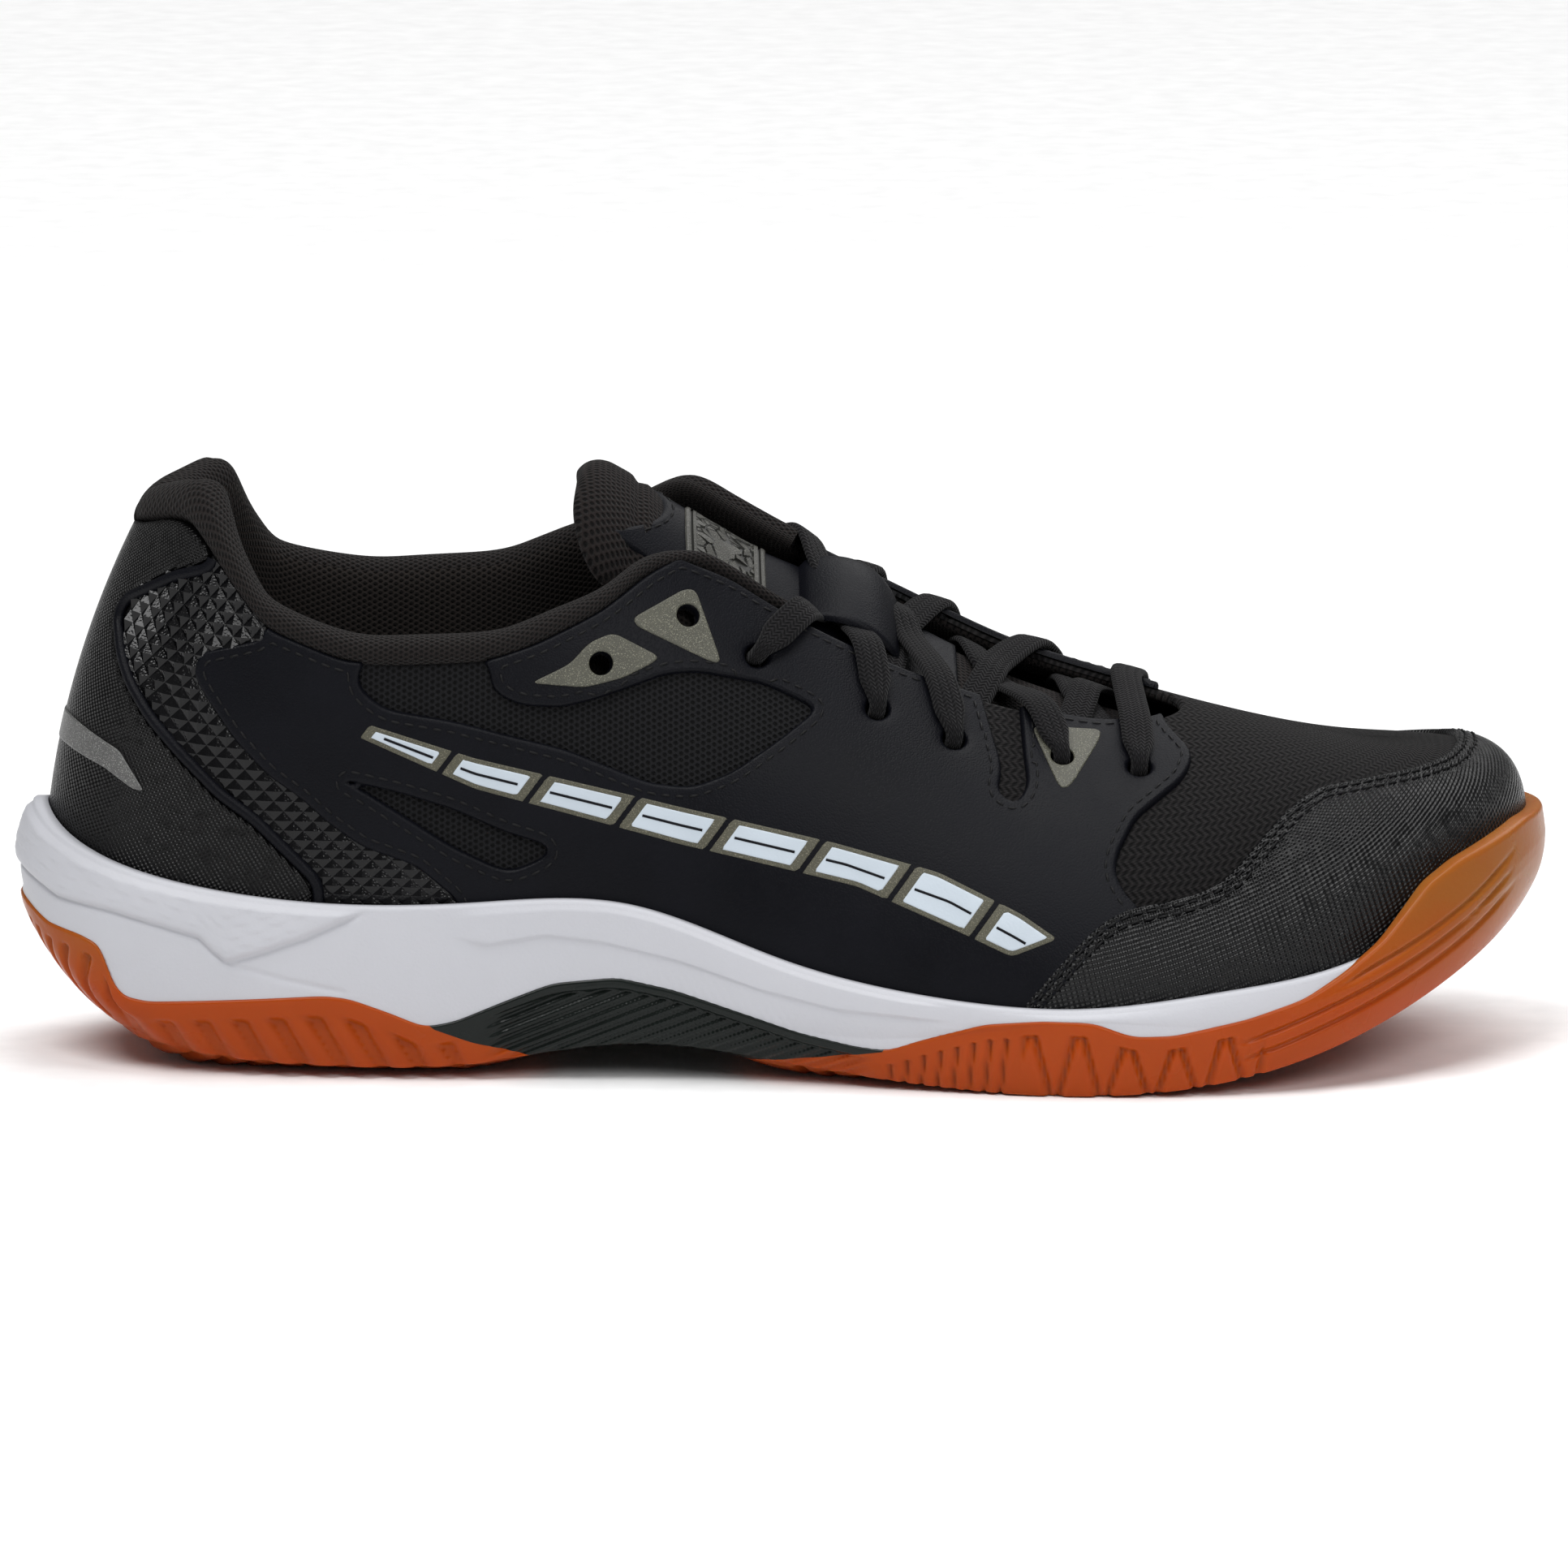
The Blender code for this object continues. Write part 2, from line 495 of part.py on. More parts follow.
def opening_cutter(name, rise=0.0):
    """Make the block above the topline, back to the heel."""
    outlines = []
    for topline in (TOPLINE_LATERAL, TOPLINE_MEDIAL):
        line = [(x, z + rise * min(1.0, (x + 160) / 30)) for x, z in topline]
        outlines.append([(-170, 190), (-170, line[0][1])] + line + [(OPENING_FRONT_X + 1, 190)])
    return two_sided_prism(name, *outlines)


OPENING = [opening_cutter("opening"), prism("throat", THROAT, "Z", 40, 200)]
WIDE_THROAT = prism("wide_throat", grow(THROAT, THROAT_SETBACK), "Z", 40, 190)
TOE_CAP_KEEP_OUT = side_prism("toe_cap_keep_out", grow(TOE_CAP, GAP))
HEEL_CAP_KEEP_OUT = side_prism("heel_cap_keep_out", grow(HEEL_CAP, GAP))


def eyelet_cutters():
    """Make a bore through the eyestay for each eyelet."""
    made = {}
    for side, places in (("lateral", EYELETS_LATERAL), ("medial", EYELETS_MEDIAL)):
        for number, (x, z) in enumerate(places):
            q, t = find_side(x, z, side == "medial")
            centre, tip = to_metres(on_last(q, t, 1.5)), to_metres(on_last(q, t, 2.5))
            bpy.ops.mesh.primitive_cylinder_add(vertices=12, radius=EYELET_RADIUS * MM,
                                                depth=9 * MM, location=centre)
            bore = bpy.context.active_object
            bore.name = f"eyelet_{side}_{number + 1}"
            bore.rotation_mode = "QUATERNION"
            bore.rotation_quaternion = (tip - centre).to_track_quat("Z", "Y")
            for collection in list(bore.users_collection):
                collection.objects.unlink(bore)
            CUTTERS.objects.link(bore)
            made[side, number] = as_cutter(bore)
    return made


EYELETS = eyelet_cutters()


def cut_eyelets(thing, side, numbers):
    for number in numbers:
        cut(thing, EYELETS[side, number])
    return thing


def cut_opening(thing):
    for cutter in OPENING:
        cut(thing, cutter)
    return thing


def box_cutter(name, x_from, x_to, y_from=-90.0, y_to=90.0, z_from=-10.0, z_to=200.0):
    outline = [(x_from, z_from), (x_to, z_from), (x_to, z_to), (x_from, z_to)]
    return prism(name, outline, "Y", y_from, y_to)


def build_base_mesh():
    """The vamp and the two quarters, which meet under the overlays."""
    vamp = skin("vamp_mesh", MESH_INNER, MESH_THICK)
    cut(vamp, box_cutter("vamp_area", QUARTER_SEAM_X + GAP, 200), "INTERSECT")
    cut(vamp, OPENING[1])
    for side in SIDES:
        cut_eyelets(vamp, side, (0, 1, 2))
    paint(vamp, MESH_BLACK, 0.85)
    for side, (low, high) in SIDES.items():
        heel_middle = -1.0
        reach = (low, heel_middle - GAP / 2) if side == "lateral" else (heel_middle + GAP / 2, high)
        quarter = skin(f"{side}_quarter_mesh", MESH_INNER, MESH_THICK)
        cut_opening(quarter)
        cut(quarter, box_cutter(f"{side}_quarter_area", -200, QUARTER_SEAM_X, *reach), "INTERSECT")
        cut_eyelets(quarter, side, (2, 3, 4, 5, 6))
        paint(quarter, MESH_BLACK, 0.85)


def build_stiffeners():
    counter = skin("heel_counter", STIFFENER_INNER, STIFFENER_THICK)
    cut(counter, side_prism("counter_area", COUNTER_TOP), "INTERSECT")
    paint(counter, WHITE, 0.5)
    puff = skin("toe_puff", STIFFENER_INNER, STIFFENER_THICK)
    cut(puff, side_prism("puff_area", PUFF_BACK), "INTERSECT")
    paint(puff, WHITE, 0.5)


def pad_depth(point):
    """How thick the collar padding is: thin at its foot, full near the topline."""
    rise = min(1.0, max(0.0, (point[2] - PAD_FOOT_Z) / (PAD_FULL_Z - PAD_FOOT_Z)))
    return PAD_THIN + (PAD_THICK - PAD_THIN) * rise * rise * (3 - 2 * rise)


def build_collar():
    pad = padded_layer("collar_padding", PAD_OUTER, lambda p: PAD_OUTER - pad_depth(p), COLLAR_REACH)
    lining = padded_layer("collar_lining", lambda p: PAD_OUTER - pad_depth(p) - GAP,
                          lambda p: PAD_OUTER - pad_depth(p) - GAP - LINING_THICK, COLLAR_REACH)
    for thing, rise, foot in ((pad, PAD_RISE, PAD_FOOT_Z), (lining, LINING_RISE, 0.0)):
        cut(thing, opening_cutter(f"{thing.name}_top", rise))
        cut(thing, box_cutter(f"{thing.name}_area", -200, PAD_FRONT_X, z_from=foot), "INTERSECT")
    paint(pad, MESH_BLACK, 0.95)
    paint(lining, MESH_BLACK, 0.9)


def build_overlays():
    toe = skin("toe_cap", OVERLAY_INNER, OVERLAY_THICK)
    paint(cut(toe, side_prism("toe_cap_area", TOE_CAP), "INTERSECT"), BLACK, 0.45)
    heel = skin("heel_cap", OVERLAY_INNER, OVERLAY_THICK)
    cut(heel, OPENING[0])
    paint(cut(heel, side_prism("heel_cap_area", HEEL_CAP), "INTERSECT"), BLACK, 0.4)
    overlay_area = OVERLAY_REAR + [(-101, 190), (74, 190)] + OVERLAY_FRONT + [(72, 20)]
    panel_area = OVERLAY_REAR[::-1] + [(-88, 20), (-140, 20), (-140, 120), (-101, 120)]
    for side in SIDES:
        overlay = skin(f"{side}_quarter_overlay", OVERLAY_INNER, OVERLAY_THICK)
        cut(overlay, OPENING[0])
        cut(overlay, WIDE_THROAT)
        cut(overlay, side_prism(f"{side}_overlay_area", overlay_area, side), "INTERSECT")
        cut(overlay, TOE_CAP_KEEP_OUT)
        for name, window in (("upper", UPPER_WINDOW), ("lower", LOWER_WINDOW), ("slot", FRONT_SLOT)):
            cut(overlay, side_prism(f"{side}_{name}_window", window, side))
        cut_eyelets(overlay, side, range(7))
        paint(overlay, BLACK, 0.6)
        panel = skin(f"{side}_heel_panel", OVERLAY_INNER, OVERLAY_THICK)
        cut(panel, OPENING[0])
        cut(panel, side_prism(f"{side}_panel_area", panel_area, side), "INTERSECT")
        cut(panel, side_prism(f"{side}_panel_keep_out", grow(overlay_area, GAP), side))
        cut(panel, HEEL_CAP_KEEP_OUT)
        paint(panel, BLACK, 0.35)


def build_trim():
    strip = skin("heel_strip", TRIM_INNER, TRIM_THICK)
    paint(cut(strip, side_prism("heel_strip_area", HEEL_STRIP), "INTERSECT"), SILVER, 0.4, 0.3)
    for side in SIDES:
        band = skin(f"{side}_side_band", TRIM_INNER, TRIM_THICK)
        cut(band, side_prism(f"{side}_band_area", SIDE_BAND, side), "INTERSECT")
        paint(band, PALE_GREY, 0.45)
        for place, outline in PATCHES.items():
            lift = PATCH_LIFT_MEDIAL[place] if side == "medial" else 0.0
            raised = [(x, z + lift) for x, z in outline]
            patch = skin(f"{side}_{place}_patch", TRIM_INNER, TRIM_THICK)
            cut(patch, side_prism(f"{side}_{place}_patch_area", raised, side), "INTERSECT")
            number = {"front": 1, "top": 5, "rear": 6}[place]
            cut_eyelets(patch, side, [number])
            paint(patch, KHAKI, 0.6)


# ---------------------------------------------------------------------------------------------
# Sole
# ---------------------------------------------------------------------------------------------
def by_station(values, medial_values=None):
    """Return the values at every lattice column, lateral heel to toe and back along the medial."""
    medial_values = medial_values or values
    loop = loop_cubic(np.array(list(values) + list(medial_values[-2:0:-1]), float)[:, None])
    return loop(np.arange(COLUMNS) * AROUND / COLUMNS)[:, 0]


def feather():
    """Return the feather line's points and their outward directions in plan."""
    q = np.arange(COLUMNS) * AROUND / COLUMNS
    points = section(q)[:, :2]
    along = section(q + 0.02)[:, :2] - section(q - 0.02)[:, :2]
    out = np.stack([along[:, 1], -along[:, 0]], 1)
    return points, out / np.linalg.norm(out, axis=1, keepdims=True)


FEATHER, FEATHER_OUT = feather()
FEATHER_Z = floor_z(FEATHER[:, 0])


def ring(out, z):
    """Return a closed ring outside the feather line; z is an array or a function of x."""
    plan = FEATHER + FEATHER_OUT * (np.zeros(COLUMNS) + out)[:, None]
    height = z(plan[:, 0]) if callable(z) else z
    return np.column_stack([plan, np.zeros(COLUMNS) + height])


def rib_ring(out, z):
    """Return the ring where the last's ribs, moved outwards, pass the heights z."""
    points = []
    for column in range(COLUMNS):
        q = column * AROUND / COLUMNS
        rib = np.array([on_last(q, t, out) for t in np.arange(60) / TABLE_T])
        points.append([np.interp(z[column], rib[:, 2], rib[:, axis]) for axis in range(3)])
    return np.array(points)


def spine(z):
    """Return the points along the sole's middle, at heights from a function of x."""
    half = COLUMNS // 2
    points = []
    spread = np.interp(np.arange(half + 1) * AROUND / COLUMNS, np.arange(TOE + 1), SPINE_X)
    for column in range(half + 1):
        y = (FEATHER[column, 1] + FEATHER[-column, 1]) / 2
        points.append((spread[column], y, float(z(spread[column]))))
    return np.array(points)


def ring_solid(name, first_spine, rings, last_spine, collection=PARTS):
    """Loft a closed solid from a middle line, out over the rings, and back to a middle line."""
    half = COLUMNS // 2
    points = [tuple(p) for loop in rings for p in loop]
    spine_start = len(points)
    points += [tuple(p) for line in (first_spine, last_spine) for p in line]
    faces = []
    for level in range(len(rings) - 1):
        for i in range(COLUMNS):
            j = (i + 1) % COLUMNS
            a, b = level * COLUMNS, (level + 1) * COLUMNS
            faces.append((a + i, a + j, b + j, b + i))
    for line, level in ((0, 0), (1, len(rings) - 1)):
        for i in range(COLUMNS):
            j = (i + 1) % COLUMNS
            middle_i = spine_start + line * (half + 1) + min(i, COLUMNS - i)
            middle_j = spine_start + line * (half + 1) + min(j, COLUMNS - j)
            faces.append((level * COLUMNS + i, level * COLUMNS + j, middle_j, middle_i))
    return mesh_object(name, points, faces, collection)


def wall_rings(extra=0.0):
    """Return the midsole's outer wall, rim to underside, grown by the extra margin."""
    rim_z = by_station(RIM_Z_LATERAL, RIM_Z_MEDIAL)
    foot_z = by_station(WALL_FOOT_Z)
    bulge_z = rim_z - 0.35 * (rim_z - foot_z)
    return [ring(by_station(RIM_OUT) + extra, rim_z - 0.4 + extra),
            ring(by_station(BULGE_OUT) + extra, bulge_z),
            ring(by_station(WALL_FOOT_OUT) + extra, foot_z - extra),
            ring(by_station(UNDER_OUT) + extra, by_station(UNDER_Z) - extra),
            ring(INNER_RING, lambda x: base_z(x) + OUTSOLE_THICK + GAP - extra)]


def build_midsole():
    rim_z = by_station(RIM_Z_LATERAL, RIM_Z_MEDIAL)
    seat = GAP + BOARD_THICK + GAP
    inner_wall = OVERLAY_INNER + OVERLAY_THICK + GAP
    inside = [ring(FLOOR_RING, lambda x: floor_z(x) - seat), ring(BOARD_OUT + GAP, FEATHER_Z - seat),
              ring(inner_wall, FEATHER_Z - 0.6), rib_ring(inner_wall, rim_z)]
    midsole = ring_solid("midsole", spine(lambda x: floor_z(x) - seat),
                         inside + wall_rings(), spine(lambda x: base_z(x) + OUTSOLE_THICK + GAP))
    top = float(floor_z(GEL_X)) - seat
    for name, margin, collection in (("gel_pocket", GAP, CUTTERS), ("heel_gel_pad", 0.0, PARTS)):
        low = top - GEL_DEEP - margin
        high = top + (5 if margin else 0)
        bpy.ops.mesh.primitive_cylinder_add(vertices=32, radius=(GEL_RADIUS + margin) * MM,
                                            depth=(high - low) * MM,
                                            location=to_metres((GEL_X, -1, (low + high) / 2)))
        disc = bpy.context.active_object
        disc.name = name
        for old in list(disc.users_collection):
            old.objects.unlink(disc)
        collection.objects.link(disc)
    cut(midsole, as_cutter(bpy.data.objects["gel_pocket"]))
    paint(midsole, WHITE, 0.5)
    paint(bpy.data.objects["heel_gel_pad"], GEL_BLUE, 0.3)


def build_outsole():
    """Cut the two gum outsoles and the shank from one blank under the midsole."""
    gum_top = by_station(GUM_TOP_Z)
    edge_z = np.maximum(by_station(EDGE_Z), 0.2)
    inner_wall = OVERLAY_INNER + OVERLAY_THICK + GAP
    above = np.maximum(gum_top, by_station(RIM_Z_LATERAL, RIM_Z_MEDIAL)) + 1.5
    filled = as_cutter(ring_solid("midsole_room", spine(lambda x: 75.0),
                                  [rib_ring(inner_wall, above)] + wall_rings(GAP),
                                  spine(lambda x: base_z(x) + OUTSOLE_THICK), CUTTERS))
    filled.modifiers.new("triangles", "TRIANGULATE")
    areas = {"heel_outsole": (-200, SHANK_FROM - GAP), "midfoot_shank": (SHANK_FROM, SHANK_TO),
             "forefoot_outsole": (SHANK_TO + GAP, 200)}
    for name, (x_from, x_to) in areas.items():
        blank = ring_solid(name, spine(base_z),
                           [ring(INNER_RING, base_z), ring(by_station(EDGE_OUT), edge_z),
                            ring(by_station(GUM_SIDE_OUT), by_station(GUM_SIDE_Z)),
                            ring(by_station(GUM_OUT), gum_top), rib_ring(inner_wall, gum_top)],
                           spine(lambda x: floor_z(x) + 2.0))
        cut(blank, box_cutter(f"{name}_area", x_from, x_to), "INTERSECT")
        cut(blank, filled)
        if name == "midfoot_shank":
            paint(blank, SHANK_BLACK, 0.25)
        else:
            paint(blank, GUM, 0.35)


def build_insole():
    top, bottom = GAP, GAP + BOARD_THICK
    board = ring_solid("strobel_board", spine(lambda x: floor_z(x) - top),
                       [ring(FLOOR_RING, lambda x: floor_z(x) - top), ring(BOARD_OUT, FEATHER_Z - top),
                        ring(BOARD_OUT, FEATHER_Z - bottom),
                        ring(FLOOR_RING, lambda x: floor_z(x) - bottom)],
                       spine(lambda x: floor_z(x) - bottom))
    paint(board, BOARD_GREY, 0.9)
    low, high = SOCKLINER_LOW, SOCKLINER_LOW + SOCKLINER_THICK
    liner = ring_solid("sockliner", spine(lambda x: floor_z(x) + high),
                       [ring(FLOOR_RING, lambda x: floor_z(x) + high),
                        ring(SOCKLINER_OUT, lambda x: floor_z(x) + high),
                        ring(SOCKLINER_OUT, lambda x: floor_z(x) + low),
                        ring(FLOOR_RING, lambda x: floor_z(x) + low)],
                       spine(lambda x: floor_z(x) + low))
    paint(liner, MESH_BLACK, 0.9)


# ---------------------------------------------------------------------------------------------
# Tongue and lacing
# ---------------------------------------------------------------------------------------------
TONGUE_COLUMNS = 24
TONGUE_ROWS = 12
TONGUE_REACH = 0.42


def tongue_blank(name, outer, thick):
    """Make a saddle over the instep; outer is a function of x, or a number."""
    distance = outer if callable(outer) else lambda x: outer
    stations = np.linspace(5.5, 10.2, TONGUE_COLUMNS)
    reaches = np.linspace(-TONGUE_REACH, TONGUE_REACH, TONGUE_ROWS)
    points = []
    for depth in (0.0, thick):
        for station in stations:
            for reach in reaches:
                x = across(station, reach)[0]
                points.append(across(station, reach, distance(x) - depth))
    layer = TONGUE_COLUMNS * TONGUE_ROWS
    faces = []
    for i in range(TONGUE_COLUMNS - 1):
        for j in range(TONGUE_ROWS - 1):
            a = i * TONGUE_ROWS + j
            faces.append((a, a + TONGUE_ROWS, a + TONGUE_ROWS + 1, a + 1))
            faces.append((a + layer + 1, a + layer + TONGUE_ROWS + 1, a + layer + TONGUE_ROWS, a + layer))
    rim = [i * TONGUE_ROWS for i in range(TONGUE_COLUMNS)]
    rim += [(TONGUE_COLUMNS - 1) * TONGUE_ROWS + j for j in range(1, TONGUE_ROWS)]
    rim += [i * TONGUE_ROWS + TONGUE_ROWS - 1 for i in range(TONGUE_COLUMNS - 2, -1, -1)]
    rim += [j for j in range(TONGUE_ROWS - 2, 0, -1)]
    for a, b in zip(rim, rim[1:] + rim[:1]):
        faces.append((b, a, a + layer, b + layer))
    return mesh_object(name, points, faces, PARTS)


def pad_out(x):
    """Height of the tongue pad: low under the lacing, high behind it."""
    rise = min(1.0, max(0.0, (7.0 - x) / 14.0))
    return PAD_LOWER_OUT + (PAD_UPPER_OUT - PAD_LOWER_OUT) * rise * rise * (3 - 2 * rise)


def build_tongue():
    cover_inner = GAP + COVER_THICK
    label_inner = cover_inner + GAP + TRIM_THICK
    pieces = (("tongue_upper_pad", TONGUE_UPPER, pad_out, TONGUE_THICK, MESH_BLACK),
              ("tongue_lower_pad", TONGUE_LOWER, pad_out, TONGUE_THICK, MESH_BLACK),
              ("tongue_upper_cover", COVER_UPPER, lambda x: pad_out(x) + cover_inner, COVER_THICK, BLACK),
              ("tongue_lower_cover", COVER_LOWER, lambda x: pad_out(x) + cover_inner, COVER_THICK, BLACK),
              ("tongue_label", LABEL, lambda x: pad_out(x) + label_inner, TRIM_THICK, LABEL_GREY),
              ("tongue_keeper", KEEPER, KEEPER_OUT + KEEPER_THICK, KEEPER_THICK, BLACK))
    for name, outline, outer, thick, colour in pieces:
        piece = tongue_blank(name, outer, thick)
        cut(piece, prism(f"{name}_area", outline, "Z", 30, 190), "INTERSECT")
        paint(piece, colour, 0.8)


def eyelet_place(number, side):
    """Return an eyelet's station and reach over the instep."""
    places = EYELETS_MEDIAL if side == "medial" else EYELETS_LATERAL
    q, t = find_side(*places[number], side == "medial")
    return (AROUND - q, 1 - t) if side == "medial" else (q, t - 1)


def lace_crossing(start, end, heights, middle_station=None):
    """Return the lace's points from one eyelet to another; heights are (fraction, height) pairs."""
    points = []
    for fraction, height in heights:
        station = start[0] + (end[0] - start[0]) * fraction
        if middle_station:
            bow = 1 - abs(2 * fraction - 1)
            station += (middle_station - (start[0] + end[0]) / 2) * bow
        points.append(across(station, start[1] + (end[1] - start[1]) * fraction, height))
    return points


UP_THROUGH = [(0, -1.4), (0, 4.2), (0.035, LACE_OVER), (0.25, LACE_OVER)]
UNDER_TO_HOLE = [(0.73, LACE_UNDER), (0.96, LACE_UNDER)]


def mirrored(heights):
    return [(1 - fraction, height) for fraction, height in reversed(heights)]


def over_and_under(level):
    return UP_THROUGH + [(0.43, level), (0.56, level)] + UNDER_TO_HOLE


def over_and_over(level):
    rising = UP_THROUGH + [(0.4, level)]
    return rising + mirrored(rising)


def under_and_under(level):
    return mirrored(UNDER_TO_HOLE) + [(0.44, level), (0.56, level)] + UNDER_TO_HOLE


def bar():
    return UP_THROUGH + [(0.4, 5.0)] + mirrored(UP_THROUGH + [(0.4, 5.0)])


def tail(side):
    """Return the loose end's points inside the quarter, from the eyelet down to the aglet."""
    places = [(-4.5, 76), (0, 67), (12, 57), (24, 50), (34, 47)]
    return [on_last(*find_side(x, z, side == "medial"), LACE_UNDER) for x, z in places]


def lace_route():
    """Follow the one lace from its lateral end, up and down the eyelets, to its medial end."""
    lateral = [eyelet_place(n, "lateral") for n in range(5)]
    medial = [eyelet_place(n, "medial") for n in range(5)]
    keeper_station = 7.42
    route = list(reversed(tail("lateral")))
    route += lace_crossing(lateral[4], medial[3], over_and_over(LACE_LOW), keeper_station)
    route += reversed(lace_crossing(lateral[2], medial[3], over_and_under(LACE_HIGH)))
    route += reversed(lace_crossing(medial[1], lateral[2], over_and_under(LACE_HIGH)))
    route += reversed(lace_crossing(lateral[0], medial[1], under_and_under(LACE_LOW)))
    route += lace_crossing(lateral[0], medial[0], bar())
    route += lace_crossing(medial[0], lateral[1], under_and_under(LACE_HIGH))
    route += lace_crossing(lateral[1], medial[2], over_and_under(LACE_LOW))
    route += lace_crossing(medial[2], lateral[3], over_and_under(LACE_LOW))
    route += lace_crossing(lateral[3], medial[4], over_and_over(LACE_HIGH), keeper_station)
    route += tail("medial")
    return np.array(route)


def build_lacing():
    points = lace_route()
    curve = bpy.data.curves.new("shoelace", "CURVE")
    curve.dimensions = "3D"
    curve.bevel_depth = LACE_RADIUS * MM
    curve.bevel_resolution = 1
    curve.use_fill_caps = True
    line = curve.splines.new("POLY")
    line.points.add(len(points) - 1)
    for place, point in zip(line.points, points):
        place.co = (*to_metres(point), 1.0)
    lace = bpy.data.objects.new("shoelace", curve)
    PARTS.objects.link(lace)
    paint(lace, MESH_BLACK, 0.9)
    for name, last, before in (("lateral_aglet", points[0], points[1]),
                               ("medial_aglet", points[-1], points[-2])):
        way = (last - before) / np.linalg.norm(last - before)
        centre = last + way * (GAP + AGLET_LENGTH / 2)
        bpy.ops.mesh.primitive_cylinder_add(vertices=12, radius=AGLET_RADIUS * MM,
                                            depth=AGLET_LENGTH * MM, location=to_metres(centre))
        aglet = bpy.context.active_object
        aglet.name = name
        aglet.rotation_mode = "QUATERNION"
        aglet.rotation_quaternion = Vector(way).to_track_quat("Z", "Y")
        for old in list(aglet.users_collection):
            old.objects.unlink(aglet)
        PARTS.objects.link(aglet)
        paint(aglet, BLACK, 0.3)


build_base_mesh()
build_stiffeners()
build_collar()
build_overlays()
build_trim()
build_midsole()
build_outsole()
build_insole()
build_tongue()
build_lacing()
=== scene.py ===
"""Looks of the court shoe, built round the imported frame.

Lengths in this file are millimetres in the shoe's own frame: the toe along +X, the medial side
along +Y. place() turns them into the frame's metres. The upper's layers are all offsets of one
surface, the last, whose points are named by q (the place round the feather line, 0 at the heel,
14 at the toe) and t (the way up the rib, 0 at the feather line, 1 at the ridge).
"""

import math

import bpy
import numpy as np
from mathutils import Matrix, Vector


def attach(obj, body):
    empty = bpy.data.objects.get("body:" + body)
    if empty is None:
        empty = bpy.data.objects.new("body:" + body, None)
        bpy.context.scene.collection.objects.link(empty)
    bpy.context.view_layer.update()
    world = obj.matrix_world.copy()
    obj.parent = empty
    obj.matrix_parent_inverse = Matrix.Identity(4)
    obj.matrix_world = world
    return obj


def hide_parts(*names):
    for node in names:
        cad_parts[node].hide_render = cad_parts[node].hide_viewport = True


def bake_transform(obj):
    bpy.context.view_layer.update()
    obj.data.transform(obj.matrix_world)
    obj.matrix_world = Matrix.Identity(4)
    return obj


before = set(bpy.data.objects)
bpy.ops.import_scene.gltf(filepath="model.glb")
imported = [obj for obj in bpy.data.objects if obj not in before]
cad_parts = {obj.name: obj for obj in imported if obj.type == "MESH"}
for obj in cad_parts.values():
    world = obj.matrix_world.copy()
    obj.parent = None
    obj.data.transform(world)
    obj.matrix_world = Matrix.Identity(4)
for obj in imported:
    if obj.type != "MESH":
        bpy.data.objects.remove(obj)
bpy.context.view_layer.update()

MM = 0.001
CENTRE_Y = -2.2  # where the frame's y = 0 lies in the shoe's own frame
ROOT, TONGUE_BODY, LINER_BODY = "shoe", "tongue_top", "sockliner"
SIDES = ("lateral", "medial")
# heights of the upper's layers over the last
MESH_LOW, MESH_TOP, OVERLAY_TOP, FILM_TOP = 0.4, 1.6, 2.9, 3.15

# ---------------------------------------------------------------------------------------------
# The last, as in the CAD
# ---------------------------------------------------------------------------------------------
# each row: x, y of the lateral feather line, x, y of the medial, x of the ridge, then how the
# lateral and the medial rib lean and how round they are
STATIONS = np.array([
    (-143.0, -1.0, -143.0, -1.0, -97.0, 2.05, 1.00, 2.05, 1.00),
    (-139.5, -13.0, -139.5, 11.0, -96.0, 1.95, 1.00, 1.95, 1.00),
    (-129.0, -23.5, -129.0, 21.0, -93.5, 1.50, 1.00, 1.50, 1.00),
    (-112.0, -29.5, -112.0, 27.5, -88.0, 0.92, 0.92, 0.90, 0.90),
    (-88.0, -32.5, -88.0, 30.5, -76.0, 0.80, 0.85, 0.74, 0.82),
    (-60.0, -34.0, -60.0, 31.5, -56.0, 0.84, 0.86, 0.68, 0.76),
    (-30.0, -36.0, -30.0, 32.0, -30.0, 1.12, 0.95, 0.74, 0.80),
    (0.0, -40.5, 0.0, 34.0, 0.0, 1.42, 1.00, 0.88, 0.86),
    (30.0, -46.0, 30.0, 39.0, 28.0, 1.52, 1.00, 0.98, 0.90),
    (58.0, -50.0, 60.0, 44.5, 55.0, 1.46, 0.99, 1.00, 0.92),
    (84.0, -48.5, 88.0, 45.5, 80.0, 1.20, 0.94, 0.94, 0.87),
    (107.0, -41.0, 111.0, 42.0, 99.0, 0.82, 0.74, 0.78, 0.72),
    (126.0, -28.0, 129.0, 34.0, 110.0, 0.64, 0.60, 0.62, 0.59),
    (138.5, -11.5, 140.0, 22.0, 115.0, 0.55, 0.55, 0.55, 0.55),
    (144.0, 7.0, 144.0, 7.0, 117.0, 0.54, 0.54, 0.54, 0.54),
])
TOE = len(STATIONS) - 1
AROUND = 2 * TOE
FLOOR = [(-150, 31), (-140, 29), (-125, 26), (-110, 24.2), (-88, 23.7), (-60, 23), (-20, 19),
         (20, 15.2), (60, 13), (90, 15), (115, 21.5), (130, 28.5), (140, 34), (150, 41)]
RIDGE = [(-150, 150), (-120, 148), (-100, 145), (-80, 140), (-60, 133), (-45, 126), (-30, 118),
         (-15, 109), (0, 100), (23, 88), (43, 78), (60, 72), (77, 67), (91, 63.3), (110, 59.5),
         (124, 58.8), (140, 60), (150, 62)]
MIDDLE = [(-150, -1), (-60, 1), (-30, 4), (0, 7), (30, 8.5), (60, 8), (90, 7.5), (120, 8), (150, 8)]
